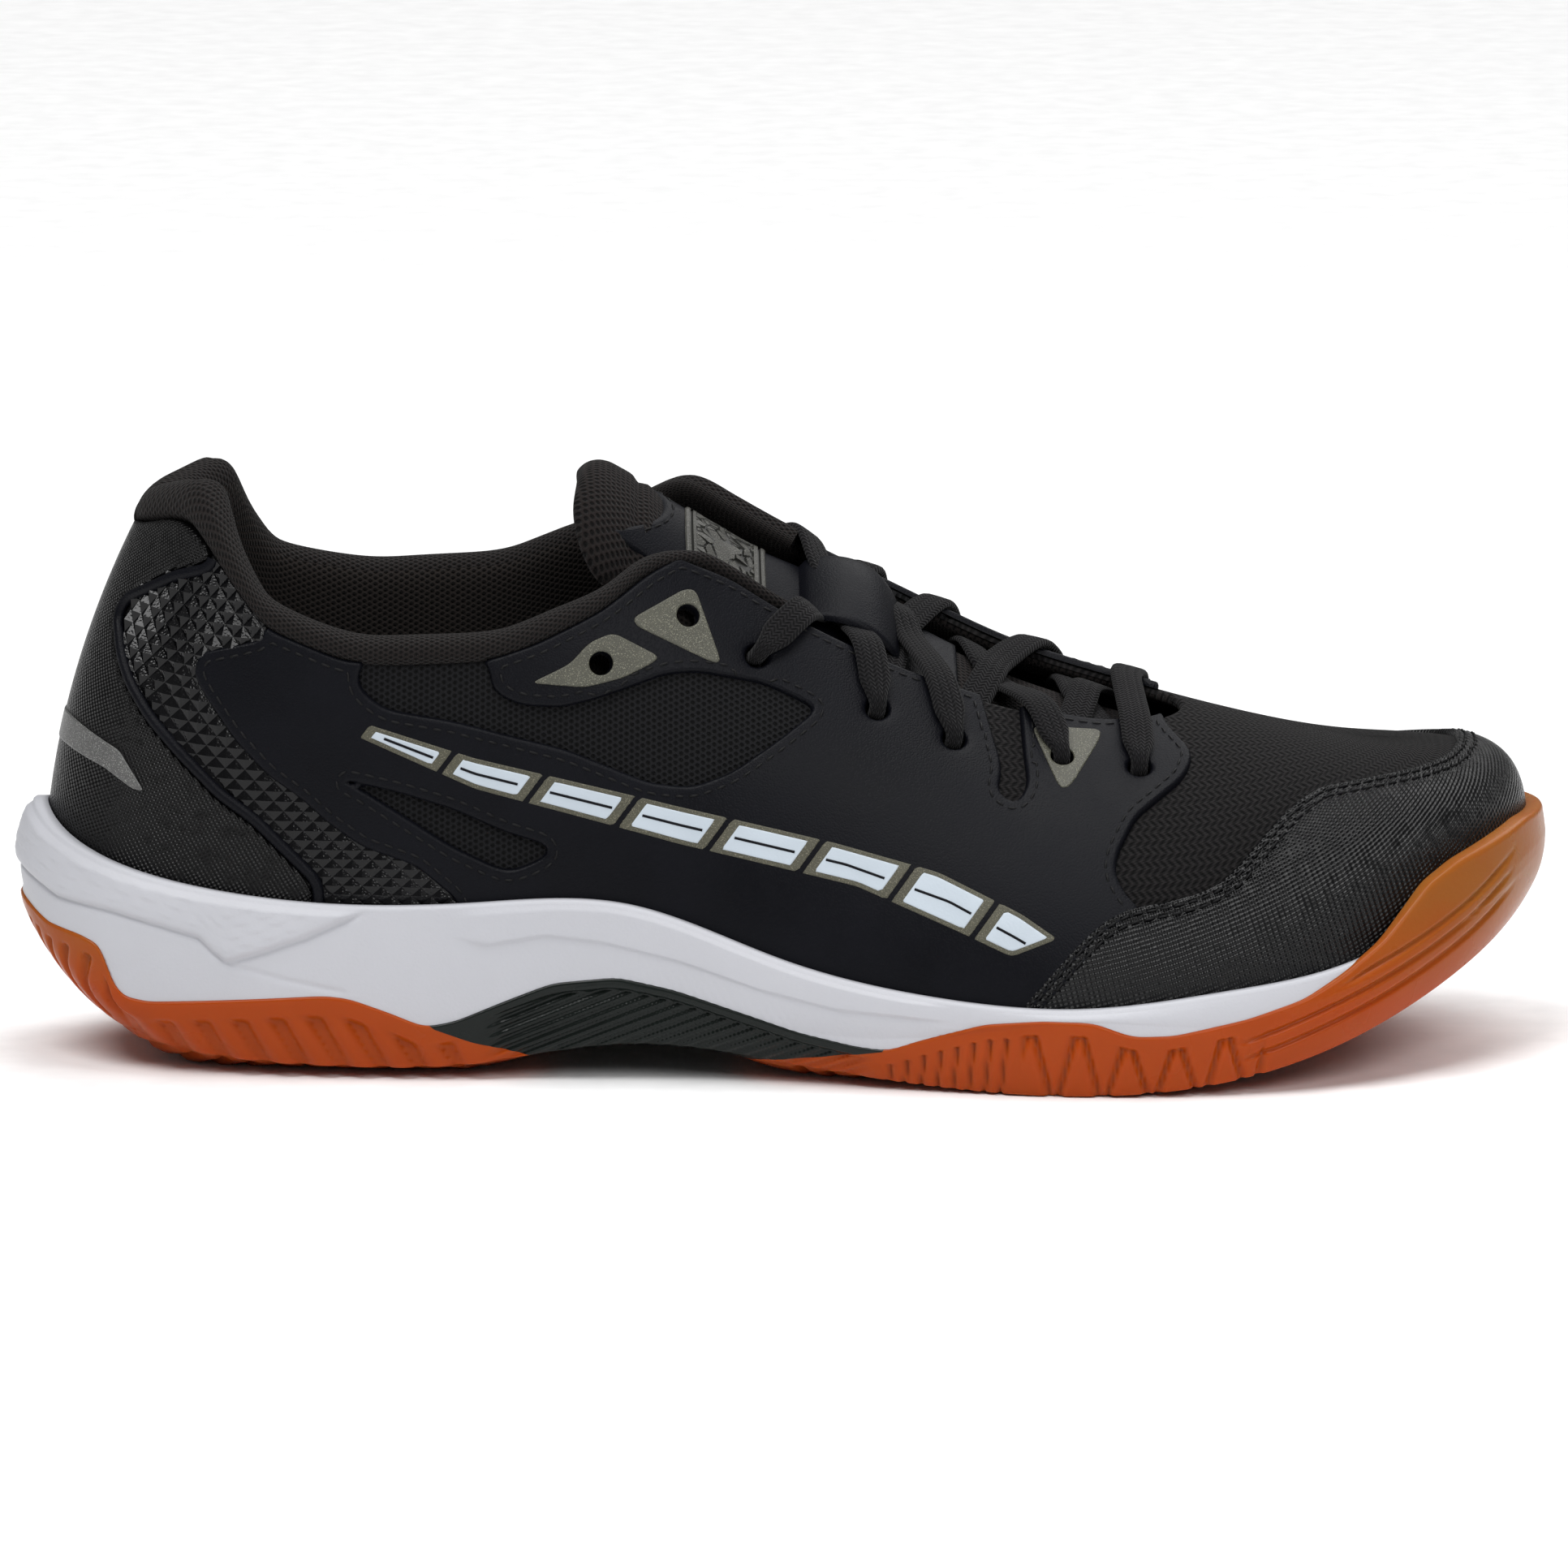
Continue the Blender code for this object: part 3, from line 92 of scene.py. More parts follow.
BASE = [(-150, 27), (-140, 14), (-133, 8), (-125, 3.2), (-116, 0.4), (-108, 0), (-62, 0), (-50, 3),
        (-40, 6.5), (-28, 8), (-16, 6), (-5, 2.4), (6, 0.3), (14, 0), (78, 0), (88, 1.2), (100, 4),
        (116, 9), (130, 15), (141, 22), (150, 31)]
TABLE_Q, TABLE_T = 1120, 180
TABLE_STEPS = np.arange(TABLE_Q + 1) * AROUND / TABLE_Q
RIB_SAMPLES = 400
RIDGE_ROWS = 10
GIRTH_ROW = 60


def smoothstep(x, low, high):
    share = np.clip((np.asarray(x, float) - low) / (high - low), 0, 1)
    return share * share * (3 - 2 * share)


def travelled(points):
    """Return the length along a line of points, up to each of them."""
    return np.concatenate([[0], np.cumsum(np.linalg.norm(np.diff(points, axis=0), axis=1))])


def smoothed(values, window=9, mode="edge"):
    """Return a row of values averaged over a bell-shaped window."""
    bell = np.hanning(window)
    return np.convolve(np.pad(values, window // 2, mode=mode), bell / bell.sum(), "valid")


def unit(vectors):
    return vectors / np.linalg.norm(vectors, axis=-1, keepdims=True)


def cubic(points):
    """Return the natural cubic spline y(x) through the points."""
    x, y = np.array(points, float).T
    count = len(x)
    step = np.diff(x)
    matrix = np.eye(count)
    right = np.zeros(count)
    for i in range(1, count - 1):
        matrix[i, i - 1:i + 2] = step[i - 1], 2 * (step[i - 1] + step[i]), step[i]
        right[i] = 6 * ((y[i + 1] - y[i]) / step[i] - (y[i] - y[i - 1]) / step[i - 1])
    bend = np.linalg.solve(matrix, right)

    def value(at):
        at = np.clip(np.asarray(at, float), x[0], x[-1])
        i = np.clip(np.searchsorted(x, at) - 1, 0, count - 2)
        a = x[i + 1] - at
        b = at - x[i]
        curve = (bend[i] * a ** 3 + bend[i + 1] * b ** 3) / (6 * step[i])
        left = (y[i] / step[i] - bend[i] * step[i] / 6) * a
        return curve + left + (y[i + 1] / step[i] - bend[i + 1] * step[i] / 6) * b
    return value


def loop_cubic(rows):
    """Return the closed uniform cubic spline through the rows."""
    rows = np.asarray(rows, float)
    count = len(rows)
    matrix = 4 * np.eye(count) + np.roll(np.eye(count), 1, 1) + np.roll(np.eye(count), -1, 1)
    bend = np.linalg.solve(matrix, 6 * (np.roll(rows, -1, 0) - 2 * rows + np.roll(rows, 1, 0)))

    def value(at):
        at = np.asarray(at, float) % count
        i = np.floor(at).astype(int) % count
        j = (i + 1) % count
        b = (at - np.floor(at))[..., None]
        a = 1 - b
        curve = (bend[i] * a ** 3 + bend[j] * b ** 3) / 6
        return curve + (rows[i] - bend[i] / 6) * a + (rows[j] - bend[j] / 6) * b
    return value


floor_z = cubic(FLOOR)
ridge_z = cubic(RIDGE)
middle_y = cubic(MIDDLE)
base_curve = cubic(BASE)
section = loop_cubic(np.vstack([STATIONS[:, [0, 1, 4, 5, 6]],
                                STATIONS[-2:0:-1][:, [2, 3, 4, 7, 8]]]))


def base_z(x):
    return np.maximum(base_curve(x), 0.0)


def make_last():
    """Tabulate the last: points and normals at even q and even arc length t, and rib lengths."""
    x, y, ridge_x, lean, roundness = (v[:, None] for v in section(TABLE_STEPS[:-1]).T)
    angle = np.linspace(0, math.pi / 2, RIB_SAMPLES)[None, :]
    inward = 1 - np.cos(angle) ** lean
    upward = np.sin(angle) ** roundness
    rib_x = x + (ridge_x - x) * inward
    rib_y = y + (middle_y(ridge_x) - y) * inward
    foot = floor_z(x)
    ribs = np.stack([rib_x, rib_y, foot + (ridge_z(rib_x) - foot) * upward], -1)
    arc = np.cumsum(np.linalg.norm(np.diff(ribs, axis=1, prepend=ribs[:, :1]), axis=2), 1)
    points = np.empty((TABLE_Q, TABLE_T + 1, 3))
    for i in range(TABLE_Q):
        along = np.linspace(0, arc[i, -1], TABLE_T + 1)
        for axis in range(3):
            points[i, :, axis] = np.interp(along, arc[i], ribs[i, :, axis])
    around = np.roll(points, -1, 0) - np.roll(points, 1, 0)
    normals = np.cross(around, np.gradient(points, axis=1))
    normals[:, -1] += 1e-3 * normals[:, -2]
    normals = unit(normals)
    # the two sides meet at the ridge, where their normals are evened out over a few rows
    mirror = normals[(-np.arange(TABLE_Q)) % TABLE_Q]
    rows = np.arange(TABLE_T + 1)
    share = 0.5 * np.clip((rows - (TABLE_T - RIDGE_ROWS)) / RIDGE_ROWS, 0, 1)[None, :, None] ** 1.5
    return points, unit(normals * (1 - share) + mirror * share), arc[:, -1]


LAST, LAST_NORMALS, RIB_LENGTH = make_last()
GIRTH = travelled(np.vstack([LAST[:, GIRTH_ROW], LAST[:1, GIRTH_ROW]]))


def around_mm(q):
    """Return the arc length round the shoe at q, for the weaves."""
    turns = np.floor(np.asarray(q, float) / AROUND)
    return np.interp(q % AROUND, TABLE_STEPS, GIRTH) + turns * GIRTH[-1]


def rib_mm(q):
    """Return the length of the rib at q."""
    return np.interp(np.asarray(q) % AROUND, TABLE_STEPS, np.append(RIB_LENGTH, RIB_LENGTH[0]))


def read_last(q, t):
    """Return points and unit normals at arrays of q and t."""
    q, t = np.broadcast_arrays(np.asarray(q, float), np.asarray(t, float))
    column = (q % AROUND) * TABLE_Q / AROUND
    i = np.floor(column).astype(int) % TABLE_Q
    j = (i + 1) % TABLE_Q
    a = (column - np.floor(column))[..., None]
    row = np.clip(t, 0, 1) * TABLE_T
    k = np.minimum(np.floor(row).astype(int), TABLE_T - 1)
    b = (row - k)[..., None]

    def mix(table):
        low = table[i, k] * (1 - a) + table[j, k] * a
        high = table[i, k + 1] * (1 - a) + table[j, k + 1] * a
        return low * (1 - b) + high * b
    return mix(LAST), unit(mix(LAST_NORMALS))


def on_last(q, t, out=0.0):
    points, normals = read_last(q, t)
    return points + normals * np.asarray(out, float)[..., None]


NORMAL_SHIFTS = (-0.08, -0.04, 0, 0.04, 0.08)
OVER_ROUNDS, OVER_STEP = 14, 0.7
STATION_MM, REACH_MM = 28.0, 85.0
STATION_ENDS, REACH_END = (4.0, TOE - 0.3), 0.7
PLAN_FLOOR = 50  # a place found in plan lies above this height


def across(station, reach, out=0.0):
    """Return points and normals over the instep, moved out along the normals.

    Reach runs from the ridge: below 0 on the lateral side, above 0 on the medial. The normals are
    evened out over a few neighbouring points, so that nothing kinks at the ridge.
    """
    station, reach = np.broadcast_arrays(np.asarray(station, float), np.asarray(reach, float))

    def read(at):
        return read_last(np.where(at < 0, station, AROUND - station), 1 - np.abs(at))
    normal = unit(sum(read(reach + shift)[1] for shift in NORMAL_SHIFTS))
    return read(reach)[0] + normal * np.asarray(out, float)[..., None], normal


def over(x, y, out=0.0):
    """Return points and normals over the instep at plan x and y, found by a few small steps."""
    x, y = np.broadcast_arrays(np.asarray(x, float), np.asarray(y, float))
    station = np.interp(x, STATIONS[:, 4], np.arange(TOE + 1))
    reach = np.zeros_like(x)
    for _ in range(OVER_ROUNDS):
        point, _ = across(station, reach)
        station = np.clip(station + OVER_STEP * (x - point[..., 0]) / STATION_MM, *STATION_ENDS)
        reach = np.clip(reach + OVER_STEP * (y - point[..., 1]) / REACH_MM, -REACH_END, REACH_END)
    return across(station, reach, out)


def find_side(x, z, medial=False):
    """Return the q and t whose point on the overlays lies at x, z in side view."""
    half = TABLE_Q // 2
    columns = np.arange(half, TABLE_Q) if medial else np.arange(0, half)
    outside = LAST[columns] + OVERLAY_TOP * LAST_NORMALS[columns]
    away = (outside[:, :, 0] - x) ** 2 + (outside[:, :, 2] - z) ** 2
    i, k = np.unravel_index(np.argmin(away), away.shape)
    return columns[i] * AROUND / TABLE_Q, k / TABLE_T


def find_plan(x, y):
    """Return the q and t whose point on the overlays lies at x, y in plan."""
    outside = LAST + OVERLAY_TOP * LAST_NORMALS
    away = (outside[:, :, 0] - x) ** 2 + (outside[:, :, 1] - y) ** 2
    away[outside[:, :, 2] < PLAN_FLOOR] = np.inf
    i, k = np.unravel_index(np.argmin(away), away.shape)
    return i * AROUND / TABLE_Q, k / TABLE_T


# ---------------------------------------------------------------------------------------------
# Sheets: triangles over the last, cut along outlines
# ---------------------------------------------------------------------------------------------
REACH = 8.0  # how far outside an outline its distance is still measured
LEAST_SLOPE = 0.12
CORNER_SHARE = 0.45
PLAN_REACH_Z = 45  # an outline in plan only cuts what lies above this height
SEAM_DEPTH, SEAM_WIDTH = 0.28, 0.32
LEAST_RUN = 5
STITCH_PITCH, STITCH_LENGTH, STITCH_RADIUS = 2.7, 2.0, 0.26
STITCH_SIDES, STITCH_STEP = 6, 0.3
# each ring of a stitch: its place along it, its thickness and its lift, so that both ends dive in
STITCH_RINGS = ((-0.5, 0.45, -0.22), (-0.38, 0.9, -0.02), (0, 1.0, 0.06), (0.38, 0.9, -0.02),
                (0.5, 0.45, -0.22))


def place(points):
    """Turn millimetres in the shoe's frame into metres in the frame's."""
    return (np.asarray(points, float) - (0, CENTRE_Y, 0)) * MM


def sheet_of(q, t, triangles):
    """Make a sheet from points of the last."""
    point, normal = read_last(q, t)
    uv = np.stack([around_mm(q), t * rib_mm(q)], 1)
    side = np.where(np.mod(q, AROUND) < TOE, -1.0, 1.0)
    return {"point": point, "normal": normal, "uv": uv, "side": side, "triangles": triangles}


def grid_faces(rows, columns):
    """Return the four-sided faces of a grid of points."""
    index = np.arange(rows * columns).reshape(rows, columns)
    corners = (index[:-1, :-1], index[1:, :-1], index[1:, 1:], index[:-1, 1:])
    return np.stack([corner.ravel() for corner in corners], 1)


def tube_faces(rings, count):
    """Return the four-sided faces of rings of points, each ring closed on itself."""
    index = np.arange(rings * count).reshape(rings, count)
    a, b = index[:-1], index[1:]
    return np.stack([a, b, np.roll(b, -1, 1), np.roll(a, -1, 1)], -1).reshape(-1, 4)


def flipped(faces):
    """Turn four-sided faces over, each from the same first corner."""
    return faces[:, [0, 3, 2, 1]]


def halved(faces):
    """Cut four-sided faces into triangles."""
    return np.concatenate([faces[:, [0, 1, 2]], faces[:, [0, 2, 3]]])


def dome(q_from, q_to, q_step, rows, t_from=0.0, t_to=1.0):
    """Make a sheet over a range of q and t."""
    columns = int(round((q_to - q_from) / q_step)) + 1
    q, t = np.meshgrid(np.linspace(q_from, q_to, columns), np.linspace(t_from, t_to, rows),
                       indexing="ij")
    return sheet_of(q.ravel(), t.ravel(), halved(grid_faces(columns, rows)))


def side_dome(side, q_from, q_to, *grid):
    """Make a sheet over one side, between the same stations on either side."""
    if side == "medial":
        q_from, q_to = AROUND - q_to, AROUND - q_from
    return dome(q_from, q_to, *grid)


def off_zero(value, margin):
    """Move values off zero, so that no cut goes through a point."""
    return np.where(np.abs(value) < margin, margin, value)


def split(sheet, key, level=0.0, keep_above=False):
    """Cut the triangles along key = level, and drop those below if asked."""
    value = off_zero(sheet[key] - level, 1e-4)
    triangles = sheet["triangles"]
    above = value[triangles] > 0
    count = above.sum(1)
    crossing = (count == 1) | (count == 2)
    cut = triangles[crossing]
    odd = np.where(count[crossing] == 1, above[crossing].argmax(1), (~above[crossing]).argmax(1))
    row = np.arange(len(cut))
    a, b, c = cut[row, odd], cut[row, (odd + 1) % 3], cut[row, (odd + 2) % 3]
    ends = np.sort(np.concatenate([np.stack([a, b], 1), np.stack([a, c], 1)]), 1)
    edges, index = np.unique(ends, axis=0, return_inverse=True)
    index = index.reshape(-1) + len(value)
    first, second = edges[:, 0], edges[:, 1]
    share = value[first] / (value[first] - value[second])
    made = {}
    for name, data in sheet.items():
        if name == "triangles":
            continue
        weight = share if data.ndim == 1 else share[:, None]
        made[name] = np.concatenate([data, data[first] * (1 - weight) + data[second] * weight])
    ab, ac = index[:len(cut)], index[len(cut):]
    triangles = np.concatenate([triangles[~crossing], np.stack([a, ab, ac], 1),
                                np.stack([ab, b, c], 1), np.stack([ab, c, ac], 1)])
    if keep_above:
        height = np.concatenate([value, np.zeros(len(edges))])
        triangles = triangles[height[triangles].sum(1) > 0]
    made["triangles"] = triangles
    return tidy(made)


def tidy(sheet):
    """Drop the points that no triangle uses."""
    used, index = np.unique(sheet["triangles"], return_inverse=True)
    made = {name: data[used] for name, data in sheet.items() if name != "triangles"}
    made["triangles"] = index.reshape(-1, 3)
    return made


def soften(outline, radius=2.0, steps=3):
    """Round the corners of a closed outline."""
    points = np.array(outline, float)
    made = []

    def towards(corner, other):
        way = other - corner
        return corner + way * min(CORNER_SHARE, radius / np.linalg.norm(way))
    for before, corner, after in zip(np.roll(points, 1, 0), points, np.roll(points, -1, 0)):
        start, end = towards(corner, before), towards(corner, after)
        for u in np.linspace(0, 1, steps + 1):
            made.append((1 - u) ** 2 * start + 2 * u * (1 - u) * corner + u * u * end)
    return np.array(made)


def outline_distance(points, outline):
    """Return the distance inside a closed outline, and the direction in which it grows."""
    low, high = outline.min(0) - REACH, outline.max(0) + REACH
    near = np.where(((points > low) & (points < high)).all(1))[0]
    distance = np.full(len(points), -REACH)
    direction = np.zeros_like(points)
    some = points[near]
    best = np.full(len(near), 1e9)
    away = np.zeros_like(some)
    inside = np.zeros(len(near), bool)
    for a, b in zip(outline, np.roll(outline, -1, 0)):
        along = b - a
        share = np.clip(((some - a) @ along) / max(along @ along, 1e-12), 0, 1)
        gap = some - (a + share[:, None] * along)
        length = np.einsum("ij,ij->i", gap, gap)
        closer = length < best
        best = np.where(closer, length, best)
        away[closer] = gap[closer]
        crosses = (a[1] > some[:, 1]) != (b[1] > some[:, 1])
        if abs(along[1]) > 1e-12:
            inside ^= crosses & (some[:, 0] < along[0] * (some[:, 1] - a[1]) / along[1] + a[0])
    best = np.sqrt(best)
    sign = np.where(inside, 1.0, -1.0)
    distance[near] = sign * best
    direction[near] = sign[:, None] * away / np.maximum(best, 1e-9)[:, None]
    return distance, direction


def seen_at(sheet):
    """Return the sheet's points at the height of the overlays, where outlines are read."""
    return sheet["point"] + OVERLAY_TOP * sheet["normal"]


def inside_outline(sheet, outline, radius, axes):
    """Return how far inside an outline each point is, measured along the surface."""
    distance, direction = outline_distance(seen_at(sheet)[:, axes], soften(outline, radius))
    lean = (direction * sheet["normal"][:, axes]).sum(1)
    return distance / np.sqrt(np.maximum(1 - lean ** 2, LEAST_SLOPE))


def inside_side(sheet, outline, side=None, radius=2.0):
    """Return how far inside an outline in side view each point is, on one side or on both."""
    distance = inside_outline(sheet, outline, radius, [0, 2])
    if side:
        wrong = sheet["side"] < 0 if side == "medial" else sheet["side"] > 0
        distance = np.where(wrong, -REACH, distance)
    return distance


def inside_plan(sheet, outline, radius=3.0):
    """Return how far inside an outline in plan each point is."""
    distance = inside_outline(sheet, outline, radius, [0, 1])
    return np.where(seen_at(sheet)[:, 2] < PLAN_REACH_Z, -REACH, distance)


def with_sole(sheet, area, height, distance=REACH):
    """Let an area run on under the sole, below a height."""
    return np.where(sheet["point"][:, 2] < height, distance, area)


def make_mesh(name, points, faces, uv=None, smooth=True, parts=None):
    """Make an object from arrays in millimetres; parts gives each face's material slot."""
    mesh = bpy.data.meshes.new(name)
    points = place(points)
    faces = np.asarray(faces)
    mesh.vertices.add(len(points))
    mesh.vertices.foreach_set("co", points.astype(np.float32).ravel())
    corners = faces.shape[1]
    mesh.loops.add(faces.size)
    mesh.loops.foreach_set("vertex_index", faces.ravel().astype(np.int32))
    mesh.polygons.add(len(faces))
    mesh.polygons.foreach_set("loop_start", np.arange(0, faces.size, corners, dtype=np.int32))
    mesh.polygons.foreach_set("use_smooth", np.full(len(faces), smooth))
    if parts is not None:
        mesh.polygons.foreach_set("material_index", np.asarray(parts, np.int32))
    if uv is not None:
        layer = mesh.uv_layers.new(name="UVMap")
        layer.data.foreach_set("uv", np.asarray(uv, np.float32)[faces.ravel()].ravel())
    mesh.update(calc_edges=True)
    mesh.validate()
    thing = bpy.data.objects.new(name, mesh)
    bpy.context.scene.collection.objects.link(thing)
    return thing


def finish_piece(thing, material, replaced=(), body=ROOT):
    """Give a piece its material, its body and the CAD nodes it stands for."""
    for one in material if isinstance(material, (list, tuple)) else [material]:
        thing.data.materials.append(one)
    if body:
        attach(thing, body)
    if replaced:
        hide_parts(*replaced)
    return thing


def rim_profile(edge, radius):
    """Return the height of a quarter-round rim, from 0 at the edge to 1 at its radius."""
    rise = np.clip(edge / radius, 0, 1)
    return np.sqrt(np.maximum(1 - (1 - rise) ** 2, 0))


def panel(name, sheet, area, low, high, material, replaced=(), rim=0.7, seams=(), extra=None):
    """Cut a sheet to where area is positive and lay it at a height, with rolled edges.

    Each seam is a distance from the edge where a row of stitches pulls the sheet in.
    """
    sheet = split({**sheet, "edge": area}, "edge", 0.0, keep_above=True)
    levels = [0.15 * rim, 0.5 * rim, rim]
    for seam in seams:
        levels += [seam - 0.5, seam, seam + 0.5]
    for level in levels:
        sheet = split(sheet, "edge", level)
    height = low + (high - low) * rim_profile(sheet["edge"], rim)
    for seam in seams:
        height = height - SEAM_DEPTH * np.exp(-((sheet["edge"] - seam) / SEAM_WIDTH) ** 2)
    if extra is not None:
        height = height + extra(sheet)
    points = sheet["point"] + sheet["normal"] * height[:, None]
    thing = make_mesh(name, points, sheet["triangles"], sheet["uv"])
    finish_piece(thing, material, replaced)
    for row, seam in enumerate(seams):
        stitch_row(f"{name}_seam_{row + 1}", sheet, "edge", seam, high)


def contour(sheet, key, level):
    """Return the lines on the sheet where key = level, as runs of points and normals."""
    value = off_zero(sheet[key] - level, 1e-6)
    triangles = sheet["triangles"]
    edges = {}
    points = []
    segments = []
    crossing = triangles[np.abs((value[triangles] > 0).sum(1) - 1.5) < 1]
    for triangle in crossing:
        ends = []
        for i, j in ((0, 1), (1, 2), (2, 0)):
            a, b = int(triangle[i]), int(triangle[j])
            if (value[a] > 0) == (value[b] > 0):
                continue
            pair = (min(a, b), max(a, b))
            if pair not in edges:
                a, b = pair
                share = value[a] / (value[a] - value[b])
                point = sheet["point"][a] * (1 - share) + sheet["point"][b] * share
                normal = sheet["normal"][a] * (1 - share) + sheet["normal"][b] * share
                edges[pair] = len(points)
                points.append(np.concatenate([point, normal]))
            ends.append(edges[pair])
        if len(ends) == 2:
            segments.append(ends)
    links = {}
    for a, b in segments:
        links.setdefault(a, []).append(b)
        links.setdefault(b, []).append(a)
    runs = []
    unused = set(links)
    starts = [p for p in links if len(links[p]) == 1] + list(links)
    for start in starts:
        if start not in unused:
            continue
        run = [start]
        unused.discard(start)
        while True:
            onward = [p for p in links[run[-1]] if p in unused]
            if not onward:
                break
            run.append(onward[0])
            unused.discard(onward[0])
        if len(run) >= LEAST_RUN:
            if start in links[run[-1]]:
                run.append(start)
            runs.append(np.array([points[p] for p in run]))
    return runs


def resample(run, step):
    """Return a run at even steps, and its length."""
    length = travelled(run[:, :3])
    count = max(2, int(length[-1] / step))
    at = np.linspace(0, length[-1], count)
    return np.stack([np.interp(at, length, run[:, i]) for i in range(run.shape[1])], 1), length[-1]


def circle_at(here, along, height, radius, count):
    """Return a circle of points round a run of points and normals."""
    along = along / max(np.linalg.norm(along), 1e-9)
    normal = unit(here[3:])
    beside = np.cross(along, normal)
    centre = here[:3] + normal * height
    return [centre + radius * (math.cos(a) * beside + math.sin(a) * normal)
            for a in np.arange(count) * 2 * math.pi / count]


def stitches_on(runs, height):
    """Return the points and faces of a row of thread stitches along the runs."""
    points, faces = [], []
    rings = len(STITCH_RINGS)
    body = flipped(tube_faces(rings, STITCH_SIDES))
    last = STITCH_SIDES * (rings - 1)
    ends = [(0, 5, 4, 3), (0, 3, 2, 1), (last, last + 1, last + 2, last + 3),
            (last, last + 3, last + 4, last + 5)]
    stitch = np.vstack([body, ends])
    for run in runs:
        fine, total = resample(run, STITCH_STEP)
        if total < STITCH_PITCH:
            continue
        count = int(total / STITCH_PITCH)
        for number in range(count):
            middle = (number + 0.5) * total / count
            faces.append(stitch + len(points))
            for share, thick, lift in STITCH_RINGS:
                at = int((middle + share * STITCH_LENGTH) / total * (len(fine) - 1))
                at = np.clip(at, 1, len(fine) - 2)
                along = fine[at + 1, :3] - fine[at - 1, :3]
                points += circle_at(fine[at], along, height + lift, STITCH_RADIUS * thick,
                                    STITCH_SIDES)
    return np.array(points), np.concatenate(faces) if faces else None


def stitch_row(name, sheet, key, level, height):
    """Sew a row of stitches along the line where key = level."""
    points, faces = stitches_on(contour(sheet, key, level), height)
    if len(points):
        finish_piece(make_mesh(name, points, faces), THREAD)


# ---------------------------------------------------------------------------------------------
# Materials
# ---------------------------------------------------------------------------------------------
class Graph:
    """A small helper to write a material's nodes as sums."""

    def __init__(self, name, colour, roughness, gloss=0.5, inputs=()):
        self.material = bpy.data.materials.new(name)
        self.material.use_nodes = True
        self.tree = self.material.node_tree
        self.shader = self.tree.nodes["Principled BSDF"]
        self.shader.inputs["Base Color"].default_value = (*colour, 1)
        self.shader.inputs["Roughness"].default_value = roughness
        self.shader.inputs["Specular IOR Level"].default_value = gloss
        for key, value in dict(inputs).items():
            self.shader.inputs[key].default_value = value
        coords = self.tree.nodes.new("ShaderNodeTexCoord")
        parts = self.tree.nodes.new("ShaderNodeSeparateXYZ")
        self.tree.links.new(coords.outputs["UV"], parts.inputs[0])
        self.u, self.v = parts.outputs[0], parts.outputs[1]
        self.object = coords.outputs["Object"]

    def put(self, socket, value):
        if isinstance(value, (int, float, tuple)):
            socket.default_value = value
        else:
            self.tree.links.new(value, socket)

    def math(self, operation, a, b=0.0):
        node = self.tree.nodes.new("ShaderNodeMath")
        node.operation = operation
        self.put(node.inputs[0], a)
        self.put(node.inputs[1], b)
        return node.outputs[0]

    def wave(self, value, pitch, phase=0.0):
        """A sine of the value with this pitch, from -1 to 1."""
        turned = self.math("MULTIPLY", value, 2 * math.pi / pitch)
        return self.math("SINE", self.math("ADD", turned, phase))

    def node(self, kind, **inputs):
        """Add a node, with underscores for the spaces in its inputs' names."""
        node = self.tree.nodes.new(kind)
        for key, value in inputs.items():
            self.put(node.inputs[key.replace("_", " ")], value)
        return node.outputs[0]

    def noise(self, scale, detail=3.0):
        return self.node("ShaderNodeTexNoise", Scale=scale, Detail=detail, Vector=self.object)

    def cells(self, scale):
        return self.node("ShaderNodeTexVoronoi", Scale=scale, Vector=self.object)

    def fit(self, value, low, high, to_low=0.0, to_high=1.0):
        """Map the value from one range to another, and stop it at the ends."""
        return self.node("ShaderNodeMapRange", Value=value, From_Min=low, From_Max=high,
                         To_Min=to_low, To_Max=to_high)

    def mix(self, share, first, second):
        node = self.tree.nodes.new("ShaderNodeMix")
        node.data_type = "RGBA"
        self.put(node.inputs[0], share)
        for socket, colour in ((node.inputs[6], first), (node.inputs[7], second)):
            self.put(socket, (*colour, 1) if isinstance(colour, tuple) else colour)
        return node.outputs[2]

    def colour(self, value):
        self.put(self.shader.inputs["Base Color"], value)

    def rough(self, value):
        self.put(self.shader.inputs["Roughness"], value)

    def bump(self, height, distance):
        """Bump by a height from 0 to 1 that stands for this many millimetres."""
        self.put(self.shader.inputs["Normal"],
                 self.node("ShaderNodeBump", Distance=distance * MM, Strength=1.0, Height=height))


def shade(colour, factor):
    return tuple(c * factor for c in colour)


def hex_net(graph, pitch):
    """A network of threads round staggered holes: 1 on the threads, 0 in the holes."""
    u, v = graph.u, graph.v
    half = graph.math("MULTIPLY", u, 0.5)
    tall = graph.math("MULTIPLY", v, 0.866)
    total = graph.wave(u, pitch, math.pi / 2)
    for sign in ("ADD", "SUBTRACT"):
        slanted = graph.wave(graph.math(sign, half, tall), pitch, math.pi / 2)
        total = graph.math("ADD", total, slanted)
    return graph.fit(total, 1.6, -0.9)


def knit(name, dark, light, pitch, depth=0.35, sheen=0.04):
    """A round knit: a net of light threads over dark holes, and a little fuzz."""
    graph = Graph(name, light, 0.9, 0.12, {"Sheen Weight": sheen, "Sheen Roughness": 0.5})
    net = hex_net(graph, pitch)
    fuzz = graph.noise(2600, 2.0)
    height = graph.math("ADD", net, graph.math("MULTIPLY", fuzz, 0.35))
    graph.colour(graph.mix(graph.fit(height, 0.1, 1.1), dark, light))
    graph.bump(height, depth)
    return graph.material


